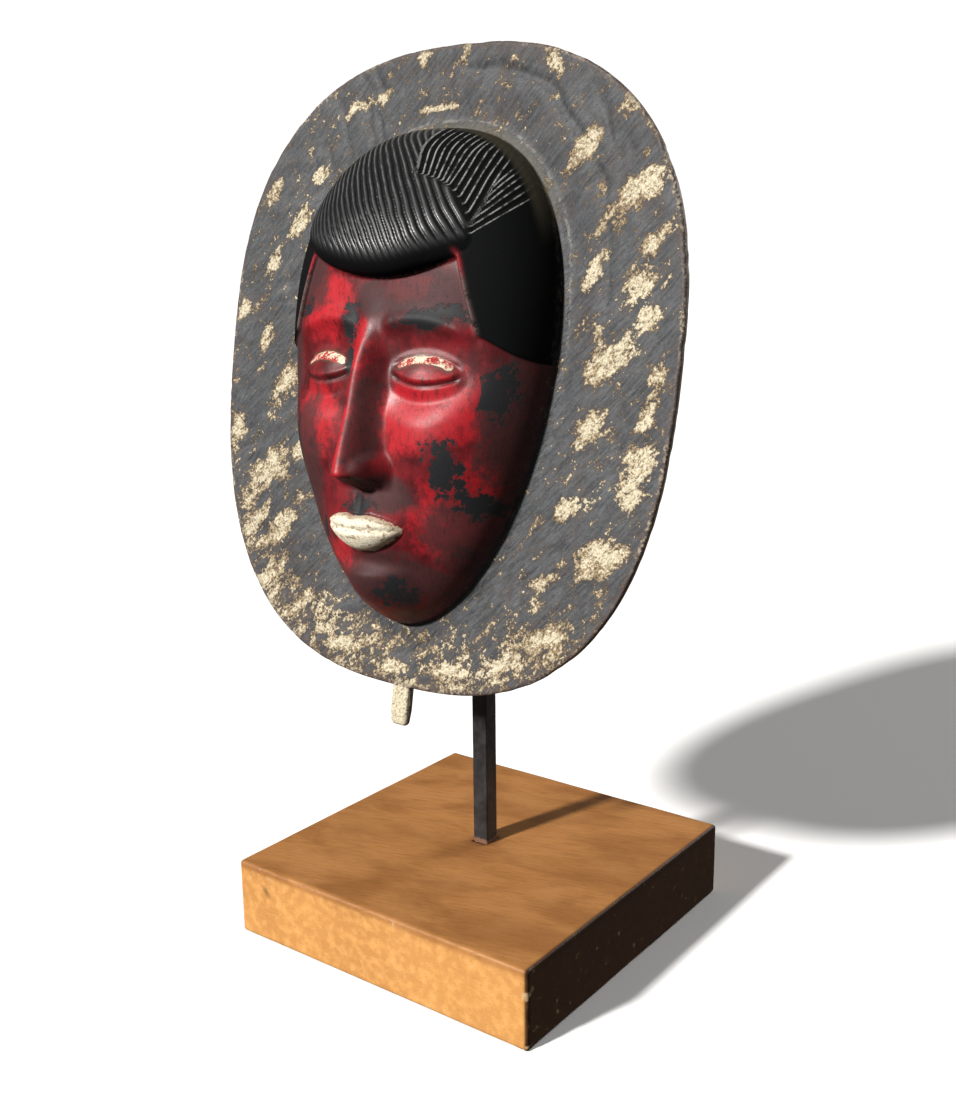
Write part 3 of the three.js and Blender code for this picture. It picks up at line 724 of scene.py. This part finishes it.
def paint_fields(piece):
    """Stores the fields that the mask's paint follows on its finished mesh."""
    places = np.empty(3 * len(piece.data.vertices))
    piece.data.vertices.foreach_get("co", places)
    x, y, z = (places.reshape(-1, 3) / MM - PLATE_CENTRE).T
    across, forward = math.cos(LEAN_BACK), math.sin(LEAN_BACK)
    u, v, w = x, y * forward + z * across, z * forward - y * across
    on_tab = v < -PLATE_BELOW - 0.5
    is_front = (w > front_height(u, v) - 1.2) | on_tab
    on_head = is_front & ~on_tab
    to_edge = head_share(u, v)
    side = np.abs(u)
    on_lid = smooth(20, 12, np.abs(side - EYE_SIDE))
    lid_arc = 7 * on_lid - 4.3 - np.abs(v - fold_curve(u) + 1.8)
    from_rim = (1 - plate_share(u, v)) * PLATE_HALF_WIDTH
    low = smooth(-95, -160, v) * smooth(46, 4, from_rim)
    low_left = smooth(-40, -120, v) * smooth(34, 6, from_rim) * smooth(-30, -80, u)
    bare = np.maximum(spots_field(u, v, BARE_SPOTS), np.maximum(low, low_left) * 0.62 - 0.5)
    phase, width = flutes(u, v)
    fields = {
        "head_mm": np.where(on_head, (1 - to_edge) * HEAD_HALF_WIDTH, -60),
        "away_mm": np.where(on_tab, 60, (to_edge - 1) * HEAD_HALF_WIDTH),
        "hair_mm": hairline(u, v),
        "ribbed_mm": np.minimum(inside_ribs(u, v), v - fringe_low(u)),
        "rib_phase": rib_phase(u, v),
        "crest": smooth(0.3, 0.75, (v - fringe_low(u)) / FRINGE_ROLL),
        "flute": phase,
        "flute_mm": width,
        "temple_edge": temple_edge(u, v),
        "lid_mm": lid_arc,
        "lip_mm": np.minimum(lips(u, v)[1], MOUTH_HALF_WIDTH - side),
        "bare": np.where(on_tab, 2.4 * smooth(-3.4, -1.6, w) - 0.6, bare),
        "black": spots_field(u, v, BLACK_SPOTS),
        "bright": spots_field(u, v, BRIGHT_SPOTS),
        "dusk": spots_field(u, v, DUSK_SPOTS),
        "rim_mm": np.where(on_tab, 20, from_rim),
        # Along the slit between the lids, which is painted near black as painted shade.
        "groove": line(v - lid_curve(u), 1.3) * smooth(20, 15, np.abs(side - EYE_SIDE)),
        "front": is_front,
        "up_mm": v,
    }
    for name, values in fields.items():
        set_attribute(piece, name, values)


# Shader nodes

class Shader:
    """A Principled material and short calls for the nodes that feed it."""

    def __init__(self, name):
        self.material = bpy.data.materials.new(name)
        self.material.use_nodes = True
        self.tree = self.material.node_tree
        self.tree.nodes.clear()
        out = self.node("OutputMaterial")
        self.skin = self.node("BsdfPrincipled")
        self.tree.links.new(self.skin.outputs[0], out.inputs["Surface"])
        self.place = self.node("TexCoord").outputs["Object"]

    def node(self, kind):
        return self.tree.nodes.new("ShaderNode" + kind)

    def put(self, socket, value):
        if isinstance(value, bpy.types.NodeSocket):
            self.tree.links.new(value, socket)
        elif isinstance(value, tuple) and len(value) == 3 and socket.type == "RGBA":
            socket.default_value = (*value, 1)
        else:
            socket.default_value = value

    def set(self, **values):
        for name, value in values.items():
            self.put(self.skin.inputs[name.replace("_", " ").title()], value)

    def math(self, operation, a, b=0.0):
        node = self.node("Math")
        node.operation = operation
        self.put(node.inputs[0], a)
        self.put(node.inputs[1], b)
        return node.outputs[0]

    def mix(self, factor, a, b):
        node = self.node("Mix")
        node.data_type = "RGBA"
        self.put(node.inputs[0], factor)
        self.put(node.inputs[6], a)
        self.put(node.inputs[7], b)
        return node.outputs[2]

    def over(self, base, colour, value, low, high, amount=1.0):
        """A colour laid over another where a value passes from low to high."""
        return self.mix(self.times(self.span(value, low, high), amount), base, colour)

    def number(self, factor, a, b):
        return self.span(factor, 0.0, 1.0, a, b, "LINEAR")

    def span(self, value, low, high, to_low=0.0, to_high=1.0, kind="SMOOTHSTEP"):
        node = self.node("MapRange")
        node.interpolation_type = kind
        for k, x in enumerate((value, low, high, to_low, to_high)):
            self.put(node.inputs[k], x)
        return node.outputs[0]

    def field(self, name):
        node = self.node("Attribute")
        node.attribute_name = name
        return node.outputs["Fac"]

    def noise(
        self, size_mm, detail=4.0, roughness=0.6, stretch=(1, 1, 1), turn=(0, 0, 0), warp=0.0
    ):
        """Noise whose features are stretched along its own axes, which are then turned."""
        mapping = self.node("Mapping")
        mapping.vector_type = "TEXTURE"
        self.put(mapping.inputs["Vector"], self.place)
        mapping.inputs["Scale"].default_value = stretch
        mapping.inputs["Rotation"].default_value = turn
        node = self.node("TexNoise")
        self.put(node.inputs["Vector"], mapping.outputs[0])
        node.inputs["Scale"].default_value = 1 / (size_mm * MM)
        node.inputs["Detail"].default_value = detail
        node.inputs["Roughness"].default_value = roughness
        node.inputs["Distortion"].default_value = warp
        return node.outputs[0]

    def add(self, *terms):
        total = terms[0]
        for term in terms[1:]:
            total = self.math("ADD", total, term)
        return total

    def times(self, *factors):
        total = factors[0]
        for factor in factors[1:]:
            total = self.math("MULTIPLY", total, factor)
        return total

    def centred(self, noise, amount):
        """Noise between about minus and plus half the amount."""
        return self.times(self.math("SUBTRACT", noise, 0.5), amount)

    def line_mm(self, phase, spacing):
        """Distance in millimetres to the nearest whole number of a phase."""
        part = self.math("FRACT", self.math("ADD", phase, 0.5))
        return self.times(self.math("ABSOLUTE", self.math("SUBTRACT", part, 0.5)), spacing)

    def bump(self, height, depth_mm, before=None):
        node = self.node("Bump")
        node.inputs["Strength"].default_value = 1.0
        node.inputs["Distance"].default_value = depth_mm * MM
        self.put(node.inputs["Height"], height)
        if before is not None:
            self.put(node.inputs["Normal"], before)
        return node.outputs[0]


# Stretched noise is rolled about its long axis by some degrees, so that no flat surface lies
# along its lattice.
GRAIN_ROLL = 35


def plate_paint(s, fine, blotch, ragged):
    """Charcoal paint, scuffed and worn through to pale wood, with a painted sheen in its lighter
    streaks: its colour and its bare places.
    """
    slant = (math.radians(GRAIN_ROLL), math.radians(-47), 0)
    strokes = s.noise(1.5, 4.0, 0.62, stretch=(9, 1, 1), turn=slant)
    streaks = s.noise(3.6, 5.0, 0.7, stretch=(3.2, 1, 1), turn=slant)
    specks = s.noise(1.6, 4.0, 0.7)
    patches = s.noise(9.0, 5.0, 0.62, warp=0.5)
    broad = s.noise(34.0, 4.0, 0.55)
    charcoal = s.mix(s.span(strokes, 0.34, 0.66), (0.027, 0.0285, 0.031), (0.064, 0.067, 0.072))
    charcoal = s.over(charcoal, (0.030, 0.032, 0.035), blotch, 0.40, 0.72, 0.6)
    # Lighter bluish streaks over the charcoal: partly scuffed paint, partly a painted sheen.
    scuffed = s.times(s.span(broad, 0.48, 0.66), s.span(streaks, 0.44, 0.64), 0.7)
    charcoal = s.mix(scuffed, charcoal, (0.105, 0.110, 0.118))
    charcoal = s.over(charcoal, (0.110, 0.114, 0.120), specks, 0.50, 0.68, 0.5)
    brown = s.times(s.span(s.noise(26.0, 4.0, 0.6, warp=0.4), 0.54, 0.68), 0.4)
    charcoal = s.mix(brown, charcoal, (0.045, 0.030, 0.027))

    worn = s.add(
        s.field("bare"), s.centred(patches, 4.0), s.centred(streaks, 3.2), s.centred(specks, 3.0)
    )
    stain = s.span(worn, -0.6, 0.2)
    bare = s.span(worn, 0.0, 0.24)
    tan = s.mix(s.span(fine, 0.35, 0.65), (0.150, 0.100, 0.055), (0.300, 0.225, 0.130))
    cream = s.mix(s.span(fine, 0.35, 0.65), (0.380, 0.325, 0.215), (0.600, 0.545, 0.405))
    paler = s.add(worn, s.centred(broad, 1.6), s.centred(specks, 1.6))
    wood = s.mix(s.span(paler, 0.3, 0.95), tan, cream)
    flecks = s.span(s.noise(1.1, 4.0, 0.75, stretch=(2, 1, 1), turn=slant), 0.53, 0.62)
    wood = s.mix(s.times(flecks, 0.8), wood, (0.055, 0.038, 0.028))
    plate = s.mix(s.times(stain, 0.6), charcoal, (0.060, 0.043, 0.034))
    plate = s.mix(bare, plate, wood)

    # The rim is rubbed brown with pale nicks, and the head's foot has a scuffed edge.
    near_rim = s.add(s.field("rim_mm"), s.centred(ragged, 9.0))
    plate = s.over(plate, (0.070, 0.045, 0.037), near_rim, 4.0, 0.5, 0.65)
    nick = s.times(s.span(near_rim, 3.0, 0.6), s.span(specks, 0.46, 0.58))
    nick = s.times(nick, s.span(broad, 0.44, 0.58))
    plate = s.mix(s.times(nick, 0.85), plate, (0.42, 0.35, 0.25))
    olive = s.times(s.span(s.field("away_mm"), 6.0, 0.0), s.span(s.field("up_mm"), 50.0, 90.0))
    plate = s.mix(s.times(olive, 0.6), plate, (0.075, 0.066, 0.045))
    crease = s.math("ABSOLUTE", s.add(s.field("away_mm"), -4.0, s.centred(patches, 5.0)))
    scuff = s.times(s.span(crease, 0.9, 0.1), s.span(s.field("up_mm"), -30.0, 30.0))
    scuff = s.times(scuff, s.span(ragged, 0.44, 0.56), 0.55)
    plate = s.mix(scuff, plate, (0.22, 0.21, 0.185))
    return plate, bare, strokes


def face_paint(s, fine, blotch, ragged):
    """Red paint dulled and flaked to black, with worn cream on the lids and lips."""
    cloud = s.noise(9.0, 5.0, 0.62)
    scrape = s.noise(1.6, 4.0, 0.65, stretch=(1, 1, 4))
    red = s.mix(s.span(blotch, 0.34, 0.66), (0.060, 0.0045, 0.0062), (0.165, 0.0070, 0.0105))
    bright = s.add(s.field("bright"), s.centred(cloud, 3.2), s.centred(ragged, 1.2))
    red = s.over(red, (0.40, 0.011, 0.018), bright, -0.25, 0.7, 0.85)
    dull = s.add(s.field("dusk"), s.centred(blotch, 2.8), s.centred(ragged, 2.4))
    red = s.over(red, (0.038, 0.018, 0.018), dull, -0.5, 0.6, 0.84)
    red = s.over(red, (0.030, 0.008, 0.009), scrape, 0.50, 0.66, 0.5)
    flaked = s.add(s.field("black"), s.centred(cloud, 3.6), s.centred(ragged, 4.4))
    soot = s.span(flaked, 0.24, 0.36)
    red = s.over(red, (0.035, 0.008, 0.010), flaked, -0.5, 0.2, 0.35)
    face = s.mix(soot, red, s.mix(fine, (0.009, 0.0095, 0.011), (0.019, 0.0195, 0.022)))

    ivory = s.mix(s.span(fine, 0.3, 0.68), (0.50, 0.42, 0.27), (0.78, 0.73, 0.60))
    flaking = s.span(s.add(ragged, s.centred(fine, 0.5)), 0.46, 0.56)
    arc = s.add(s.field("lid_mm"), s.centred(ragged, 4.6))
    face = s.over(face, (0.08, 0.045, 0.028), arc, -1.6, 0.6, 0.7)
    face = s.over(face, s.mix(flaking, ivory, (0.30, 0.025, 0.025)), arc, 0.2, 1.0)
    crack = s.span(s.noise(2.4, 5.0, 0.78, stretch=(2.6, 1, 1), turn=(0, 0.25, 0)), 0.545, 0.61)
    lip = s.add(s.field("lip_mm"), s.centred(ragged, 2.6))
    lip_here = s.span(lip, -0.3, 0.4)
    lip_colour = s.mix(s.times(crack, 0.85), ivory, (0.15, 0.08, 0.045))
    lip_colour = s.over(lip_colour, (0.26, 0.15, 0.08), lip, 3.0, 0.2, 0.55)
    face = s.mix(lip_here, face, lip_colour)
    # Painted shade: the slit between the closed lids is painted near black.
    face = s.mix(s.times(s.field("groove"), 0.85), face, (0.010, 0.004, 0.004))
    return face, soot, lip_here


def hair_paint(s, fine, blotch, ragged):
    """Black hair with the edges of its flutes rubbed pale: its colour, ribs and grooves."""
    ribbed = s.span(s.field("ribbed_mm"), -0.4, 0.4)
    ribs = s.times(ribbed, s.field("crest"))
    in_fan = s.times(
        s.span(s.field("flute"), FAN_FLUTES + 0.3, FAN_FLUTES + 0.1),
        s.span(s.field("flute"), -0.25, -0.10),
        s.math("SUBTRACT", 1.0, ribbed),
        s.span(s.field("head_mm"), 1.6, 3.6),
    )
    broken = s.span(ragged, 0.40, 0.56, 0.12, 1.0)
    to_edge = s.line_mm(s.field("flute"), s.field("flute_mm"))
    pale = s.times(s.span(to_edge, 0.50, 0.16), in_fan, broken)
    to_groove = s.line_mm(s.field("rib_phase"), RIB_PERIOD)
    groove = s.times(s.span(to_groove, 1.0, 0.3), ribs)
    crown = s.times(s.span(s.field("up_mm"), 52.0, 78.0), ribs, broken)
    pale = s.add(pale, s.times(s.span(to_groove, 1.4, 1.7), crown, 0.4))
    black = s.mix(fine, (0.0030, 0.0033, 0.0038), (0.0065, 0.0068, 0.0072))
    # The ribs' crests are painted lighter than their grooves: partly rubbed paint, partly a painted
    # sheen.
    rubbed = s.mix(s.span(blotch, 0.3, 0.65), (0.020, 0.021, 0.022), (0.048, 0.049, 0.050))
    hair = s.mix(s.times(ribs, s.span(to_groove, 0.6, 1.7)), black, rubbed)
    hair = s.mix(pale, hair, (0.22, 0.22, 0.21))
    brim = s.times(s.span(s.field("head_mm"), 3.2, 1.2), s.span(s.field("up_mm"), 46.0, 70.0))
    hair = s.mix(s.times(brim, 0.6), hair, (0.060, 0.053, 0.036))
    worn_edge = s.times(s.field("temple_edge"), s.span(ragged, 0.34, 0.5))
    rosy = s.mix(s.span(s.field("up_mm"), 26.0, 36.0), (0.16, 0.105, 0.095), (0.34, 0.035, 0.045))
    hair = s.mix(s.times(worn_edge, 0.85), hair, rosy)
    return hair, ribs, groove


def mask_material():
    s = Shader("painted_wood")
    fine = s.noise(1.0, 3.0, 0.65)
    blotch = s.noise(17.0, 5.0, 0.6)
    ragged = s.noise(4.6, 6.0, 0.72)
    plate, bare, strokes = plate_paint(s, fine, blotch, ragged)
    face, soot, lip_here = face_paint(s, fine, blotch, ragged)
    hair, ribs, groove = hair_paint(s, fine, blotch, ragged)

    hair_here = s.span(s.add(s.field("hair_mm"), s.centred(ragged, 1.4)), -0.4, 0.4)
    head_here = s.span(s.add(s.field("head_mm"), s.centred(ragged, 1.6)), -0.7, 0.5)
    colour = s.mix(hair_here, face, hair)
    colour = s.mix(head_here, plate, colour)
    grain = s.noise(2.2, 5.0, 0.65, stretch=(0.6, 0.6, 6))
    back = s.mix(s.span(grain, 0.3, 0.7), (0.080, 0.047, 0.029), (0.230, 0.145, 0.088))
    colour = s.mix(s.field("front"), back, colour)

    dusky = s.span(s.field("dusk"), -0.6, 0.6)
    rough = s.number(s.span(blotch, 0.3, 0.7), 0.38, 0.52)
    rough = s.number(dusky, rough, 0.62)
    rough = s.number(s.math("MAXIMUM", soot, lip_here), rough, 0.6)
    rough = s.number(hair_here, rough, s.number(ribs, 0.75, 0.38))
    rough = s.number(head_here, s.number(bare, 0.58, 0.8), rough)
    shine = s.number(s.math("MAXIMUM", dusky, soot), 0.32, 0.22)
    shine = s.number(hair_here, shine, s.number(ribs, 0.03, 0.42))
    shine = s.number(head_here, 0.34, shine)

    on_plate = s.math("SUBTRACT", 1.0, head_here)
    cut = s.bump(s.times(strokes, on_plate), 0.6)
    flakes = s.bump(s.add(s.times(bare, on_plate), s.times(soot, head_here, 0.4)), -0.18, cut)
    rounds = s.bump(s.times(groove, hair_here, head_here), -0.25, flakes)
    skin = s.bump(s.add(fine, s.times(ragged, 1.5)), 0.06, rounds)
    s.set(base_color=colour, roughness=s.add(rough, s.centred(fine, 0.16)), normal=skin)
    s.put(s.skin.inputs["Specular IOR Level"], shine)
    return s.material


def base_material():
    """A honey-brown board: fine grain, golden mottling and edges worn pale, with its sides painted
    lighter and more golden than its top as painted light, and its right side painted dark as
    painted shade.
    """
    s = Shader("base_wood")
    turn = (math.radians(GRAIN_ROLL), 0, math.radians(16))
    grain = s.noise(1.3, 5.0, 0.66, stretch=(11, 1, 1), turn=turn)
    pores = s.noise(0.6, 3.0, 0.7, stretch=(7, 1, 1), turn=turn)
    figure = s.noise(26.0, 5.0, 0.55, stretch=(2.2, 1, 1), turn=turn, warp=0.5)
    mottle = s.noise(5.5, 4.0, 0.55)
    broad = s.noise(38.0, 3.0, 0.5)
    honey = s.mix(s.span(figure, 0.34, 0.66), (0.265, 0.108, 0.029), (0.380, 0.168, 0.050))
    honey = s.over(honey, (0.150, 0.056, 0.015), grain, 0.44, 0.70, 0.42)
    honey = s.over(honey, (0.40, 0.190, 0.066), broad, 0.45, 0.7, 0.35)
    # Painted light: the board's sides are painted brighter and more golden than its top, with
    # golden mottling.
    golden = s.times(s.span(mottle, 0.38, 0.70), s.field("painted_light_sides"), 0.5)
    honey = s.mix(s.times(s.field("painted_light_sides"), 0.55), honey, (0.60, 0.290, 0.085))
    honey = s.mix(golden, honey, (0.72, 0.370, 0.120))
    honey = s.over(honey, (0.070, 0.029, 0.010), pores, 0.60, 0.72, 0.45)
    # Painted shade: the board's right side is painted dark brown, with lighter scratches.
    scratch = s.times(s.span(grain, 0.60, 0.72), 0.35)
    dark = s.mix(scratch, (0.024, 0.010, 0.006), (0.10, 0.050, 0.026))
    honey = s.mix(s.times(s.field("painted_shade_side"), 0.92), honey, dark)
    worn = s.add(s.field("worn"), s.centred(mottle, 1.5))
    honey = s.over(honey, (0.50, 0.34, 0.19), worn, 0.45, 0.75)
    # Darker at a dot on the front and in a ring round the rod's foot.
    honey = s.mix(s.times(s.field("darker_places"), 0.85), honey, (0.030, 0.014, 0.009))
    rough = s.number(s.span(grain, 0.3, 0.7), 0.42, 0.58)
    normal = s.bump(pores, 0.12, s.bump(grain, 0.10))
    s.set(base_color=honey, roughness=rough, normal=normal)
    s.put(s.skin.inputs["Specular IOR Level"], s.number(s.field("painted_shade_side"), 0.32, 0.12))
    return s.material


def rod_material():
    s = Shader("rod_steel")
    blotch = s.noise(9.0, 6.0, 0.7)
    fine = s.noise(0.8, 3.0, 0.7)
    black = s.mix(s.span(blotch, 0.3, 0.75), (0.010, 0.010, 0.011), (0.040, 0.040, 0.042))
    rust_here = s.span(s.add(s.field("foot"), s.centred(blotch, 1.5)), 0.35, 0.75)
    colour = s.mix(rust_here, black, s.mix(fine, (0.10, 0.035, 0.015), (0.24, 0.13, 0.08)))
    rough = s.number(rust_here, 0.42, 0.85)
    s.set(base_color=colour, roughness=rough, metallic=0.35, normal=s.bump(fine, 0.08))
    return s.material


def floor_material():
    s = Shader("floor_paper")
    s.set(base_color=(0.93, 0.93, 0.93), roughness=0.9)
    return s.material


# Boards and bars

def spaced(half, edge, cell):
    """Grid positions over a side, closer near its two ends."""
    near_edge = np.linspace(0, edge, 6)
    middle = np.linspace(-half + edge, half - edge, max(2, round(2 * (half - edge) / cell) + 1))
    return np.concatenate([-half + near_edge[:-1], middle, half - near_edge[-2::-1]])


def worn_block(low, high, edge, cell, radius_at):
    """A box with rounded, worn edges: its points, its faces and each point's edge radius."""
    low, high = np.array(low, float), np.array(high, float)
    centre, half = (low + high) / 2, (high - low) / 2
    axes = [spaced(half[k], edge, cell) for k in range(3)]
    points, faces, numbers = [], [], {}

    def number(p):
        key = tuple(np.round(p, 4))
        if key not in numbers:
            numbers[key] = len(points)
            points.append(p)
        return numbers[key]

    for k in range(3):
        a, b = [(1, 2), (2, 0), (0, 1)][k]
        for sign in (-1, 1):
            for i in range(len(axes[a]) - 1):
                for j in range(len(axes[b]) - 1):
                    quad = []
                    for p, q in ((i, j), (i + 1, j), (i + 1, j + 1), (i, j + 1)):
                        place = np.zeros(3)
                        place[k], place[a], place[b] = sign * half[k], axes[a][p], axes[b][q]
                        quad.append(number(place))
                    faces.append(tuple(quad if sign > 0 else quad[::-1]))
    points = np.array(points)
    radius = radius_at(points + centre)
    inner = np.clip(points, -(half - radius[:, None]), half - radius[:, None])
    away = points - inner
    length = np.linalg.norm(away, axis=1, keepdims=True)
    rounded = inner + away / np.maximum(length, 1e-6) * np.minimum(length, radius[:, None])
    return rounded + centre, faces, radius


def combined(piece, other, operation):
    """Joins another piece to this one, or takes it away, and drops the other."""
    modifier = piece.modifiers.new("combine", "BOOLEAN")
    modifier.operation = operation
    modifier.solver = "EXACT"
    modifier.object = other
    bpy.context.view_layer.update()
    evaluated = piece.evaluated_get(bpy.context.evaluated_depsgraph_get())
    result = bpy.data.meshes.new_from_object(evaluated)
    piece.modifiers.clear()
    piece.data = result
    bpy.data.objects.remove(other)


def cut_away(piece, low, high):
    """Takes a box, given in millimetres of the row, out of a piece."""
    mesh = bpy.data.meshes.new("cutter")
    corners = [[MM * value for value in corner] for corner in itertools.product(*zip(low, high))]
    sides = [(0, 1, 3, 2), (4, 6, 7, 5), (0, 4, 5, 1), (2, 3, 7, 6), (0, 2, 6, 4), (1, 5, 7, 3)]
    mesh.from_pydata(corners, [], sides)
    combined(piece, put_in("cutter", mesh), "DIFFERENCE")


def millimetres(corner):
    return [value / MM for value in corner]


rod_low, rod_high = (millimetres(corner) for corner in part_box("rod"))
base_low, base_high = (millimetres(corner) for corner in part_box("base"))


def make_base():
    """The board, chipped at its near corner and on the left of its front's upper edge."""
    def radius_at(p):
        ragged = rough_noise(p[:, 0] / 5 + p[:, 1] / 7, p[:, 2] / 3, SEED + 60)
        uneven = rough_noise(p[:, 0] / 30, p[:, 1] / 30 + p[:, 2] / 30, SEED + 61)
        radius = BOARD_EDGE + 0.5 * uneven
        corner = (p[:, 0] > base_high[0] - 6) & (p[:, 1] < base_low[1] + 6)
        radius = radius + corner * np.clip(ragged * 2.4, -0.4, 1.6)
        left = np.exp(-(((p[:, 0] + 74) / 22) ** 2)) * (p[:, 1] < base_low[1] + 6)
        left = left * (p[:, 2] > base_high[2] - 6)
        return np.clip(radius + left * np.clip(ragged * 3.2, 0, 2.0), 1.0, 4.4)

    points, faces, radius = worn_block(base_low, base_high, 5, 4, radius_at)
    x, y, z = points.T
    near_rod = np.hypot(x - (rod_low[0] + rod_high[0]) / 2, y - (rod_low[1] + rod_high[1]) / 2)
    on_top = z > base_high[2] - 1
    points[:, 2] -= on_top * 0.5 * line(near_rod - 6, 7)
    piece = new_piece("base_board", points * MM, faces, base_material())
    edge = np.minimum(base_high[0] - np.abs(x), base_high[1] - np.abs(y))
    worn = smooth(3.2, 0.6, edge) * (0.25 + 0.35 * (radius > 2.6))
    set_attribute(piece, "worn", worn)
    # 1 on the board's sides below the top's edge, which are painted lighter as painted light.
    set_attribute(piece, "painted_light_sides", smooth(base_high[2] - 2, base_high[2] - 6, z))
    # 1 on the board's right side, which is painted dark as painted shade.
    set_attribute(piece, "painted_shade_side", smooth(base_high[0] - 2.5, base_high[0] - 0.8, x))
    # A dot on the front and a ring round the rod's foot, which are painted darker.
    dot = line(np.hypot(x + 79.5, z - 31), 1.6) * (y < base_low[1] + 1)
    set_attribute(piece, "darker_places", np.maximum(dot, 0.6 * line(near_rod - 6, 3) * on_top))
    cut_away(
        piece,
        [low - CLEARANCE for low in rod_low],
        (rod_high[0] + CLEARANCE, rod_high[1] + CLEARANCE, base_high[2] + 5),
    )
    return piece


def make_rod():
    def radius_at(p):
        return ROD_EDGE + 0.25 * rough_noise(p[:, 2] / 14, p[:, 0] + p[:, 1], SEED + 70)

    points, faces, _ = worn_block(rod_low, rod_high, 2 * ROD_EDGE, 3.2, radius_at)
    piece = new_piece("square_rod", points * MM, faces, rod_material())
    above = points[:, 2] - base_high[2]
    set_attribute(piece, "foot", line(above, 3) * 0.9)
    return piece


def make_tab(material):
    """The small tab that hangs from the plate's foot, its paint worn off in front."""
    low = (TAB_SIDEWAYS - TAB_WIDTH / 2, -PLATE_BELOW - TAB_LENGTH, -RIM_THICKNESS)
    high = (TAB_SIDEWAYS + TAB_WIDTH / 2, -PLATE_BELOW + TAB_ROOT, -0.6)

    def radius_at(p):
        return 1.1 + 1.6 * smooth(-PLATE_BELOW - 11, -PLATE_BELOW - 19, p[:, 1])

    points, faces, _ = worn_block(low, high, 2.6, 1.4, radius_at)
    return new_piece("tab", to_row(points), faces, material)


def make_mask():
    points, faces = mask_surface()
    piece = new_piece("carved_mask", to_row(points), faces, mask_material())
    combined(piece, make_tab(piece.data.materials[0]), "UNION")
    cut_away(
        piece,
        (rod_low[0] - CLEARANCE, rod_low[1] - CLEARANCE, rod_low[2]),
        (rod_high[0] + CLEARANCE, rod_high[1] + 2 * PLATE_THICKNESS, rod_high[2] + CLEARANCE),
    )
    paint_fields(piece)
    return piece


# The scene

def make_floor():
    """A plain flat floor that ends far from the object."""
    corners = [(0, 0, 0)]
    for k in range(FLOOR_SIDES):
        angle = 2 * math.pi * k / FLOOR_SIDES
        corners.append((FLOOR_RADIUS * math.cos(angle), FLOOR_RADIUS * math.sin(angle), 0))
    faces = [(0, 1 + k, 1 + (k + 1) % FLOOR_SIDES) for k in range(FLOOR_SIDES)]
    floor = new_piece("floor", corners, faces, floor_material())
    floor.location.z = -0.0002
    floor.visible_diffuse = False
    floor.visible_glossy = False
    floor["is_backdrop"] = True


def make_light(name, towards, strength, width, colour):
    lamp = bpy.data.lights.new(name, "SUN")
    lamp.energy = strength
    lamp.angle = width
    lamp.color = colour
    put_in(name, lamp).rotation_euler = Vector(towards).to_track_quat("-Z", "Y").to_euler()


def make_camera():
    camera = put_in("camera", bpy.data.cameras.new("camera"))
    camera.data.sensor_width = SENSOR
    camera.data.lens = FOCAL_PIXELS / FRAME_LONG_SIDE * SENSOR
    camera.data.clip_start = 0.01
    level = Vector((math.cos(CAMERA_AZIMUTH), math.sin(CAMERA_AZIMUTH), 0))
    ahead = Vector((-level.y, level.x, 0))
    forward = ahead * math.cos(CAMERA_DOWN) - Vector((0, 0, math.sin(CAMERA_DOWN)))
    up = level.cross(forward)
    right = level * math.cos(CAMERA_ROLL) + up * math.sin(CAMERA_ROLL)
    turned_up = up * math.cos(CAMERA_ROLL) - level * math.sin(CAMERA_ROLL)
    turn = Matrix((right, turned_up, -forward)).transposed()
    camera.matrix_world = Matrix.Translation(CAMERA_PLACE) @ turn.to_4x4()
    bpy.context.scene.camera = camera


def make_world():
    """A weak even sky, white where the camera looks straight at it."""
    world = bpy.data.worlds.new("studio")
    world.use_nodes = True
    background = world.node_tree.nodes["Background"]
    background.inputs["Color"].default_value = (1, 1, 1, 1)
    nodes, links = world.node_tree.nodes, world.node_tree.links
    ray = nodes.new("ShaderNodeLightPath")
    strength = nodes.new("ShaderNodeMapRange")
    strength.inputs["To Min"].default_value = SKY_STRENGTH
    strength.inputs["To Max"].default_value = BACKDROP_STRENGTH
    links.new(ray.outputs["Is Camera Ray"], strength.inputs["Value"])
    links.new(strength.outputs[0], background.inputs["Strength"])
    bpy.context.scene.world = world


make_camera()
make_world()
make_light("sun", SUN_TOWARDS, SUN_STRENGTH, SUN_WIDTH, SUN_COLOUR)
make_light("back_light", BACK_LIGHT_TOWARDS, BACK_LIGHT_STRENGTH, BACK_LIGHT_WIDTH, SUN_COLOUR)
make_floor()
bpy.context.scene.view_settings.view_transform = "Standard"

mask = make_mask()
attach(mask, "root")
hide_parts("mask")

rod = make_rod()
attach(rod, "root")
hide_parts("rod")

base = make_base()
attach(base, "root")
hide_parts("base")

sizes = {
    "cad": [list(corner) for corner in cad_box],
    "visual": [list(corner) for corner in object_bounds()],
}
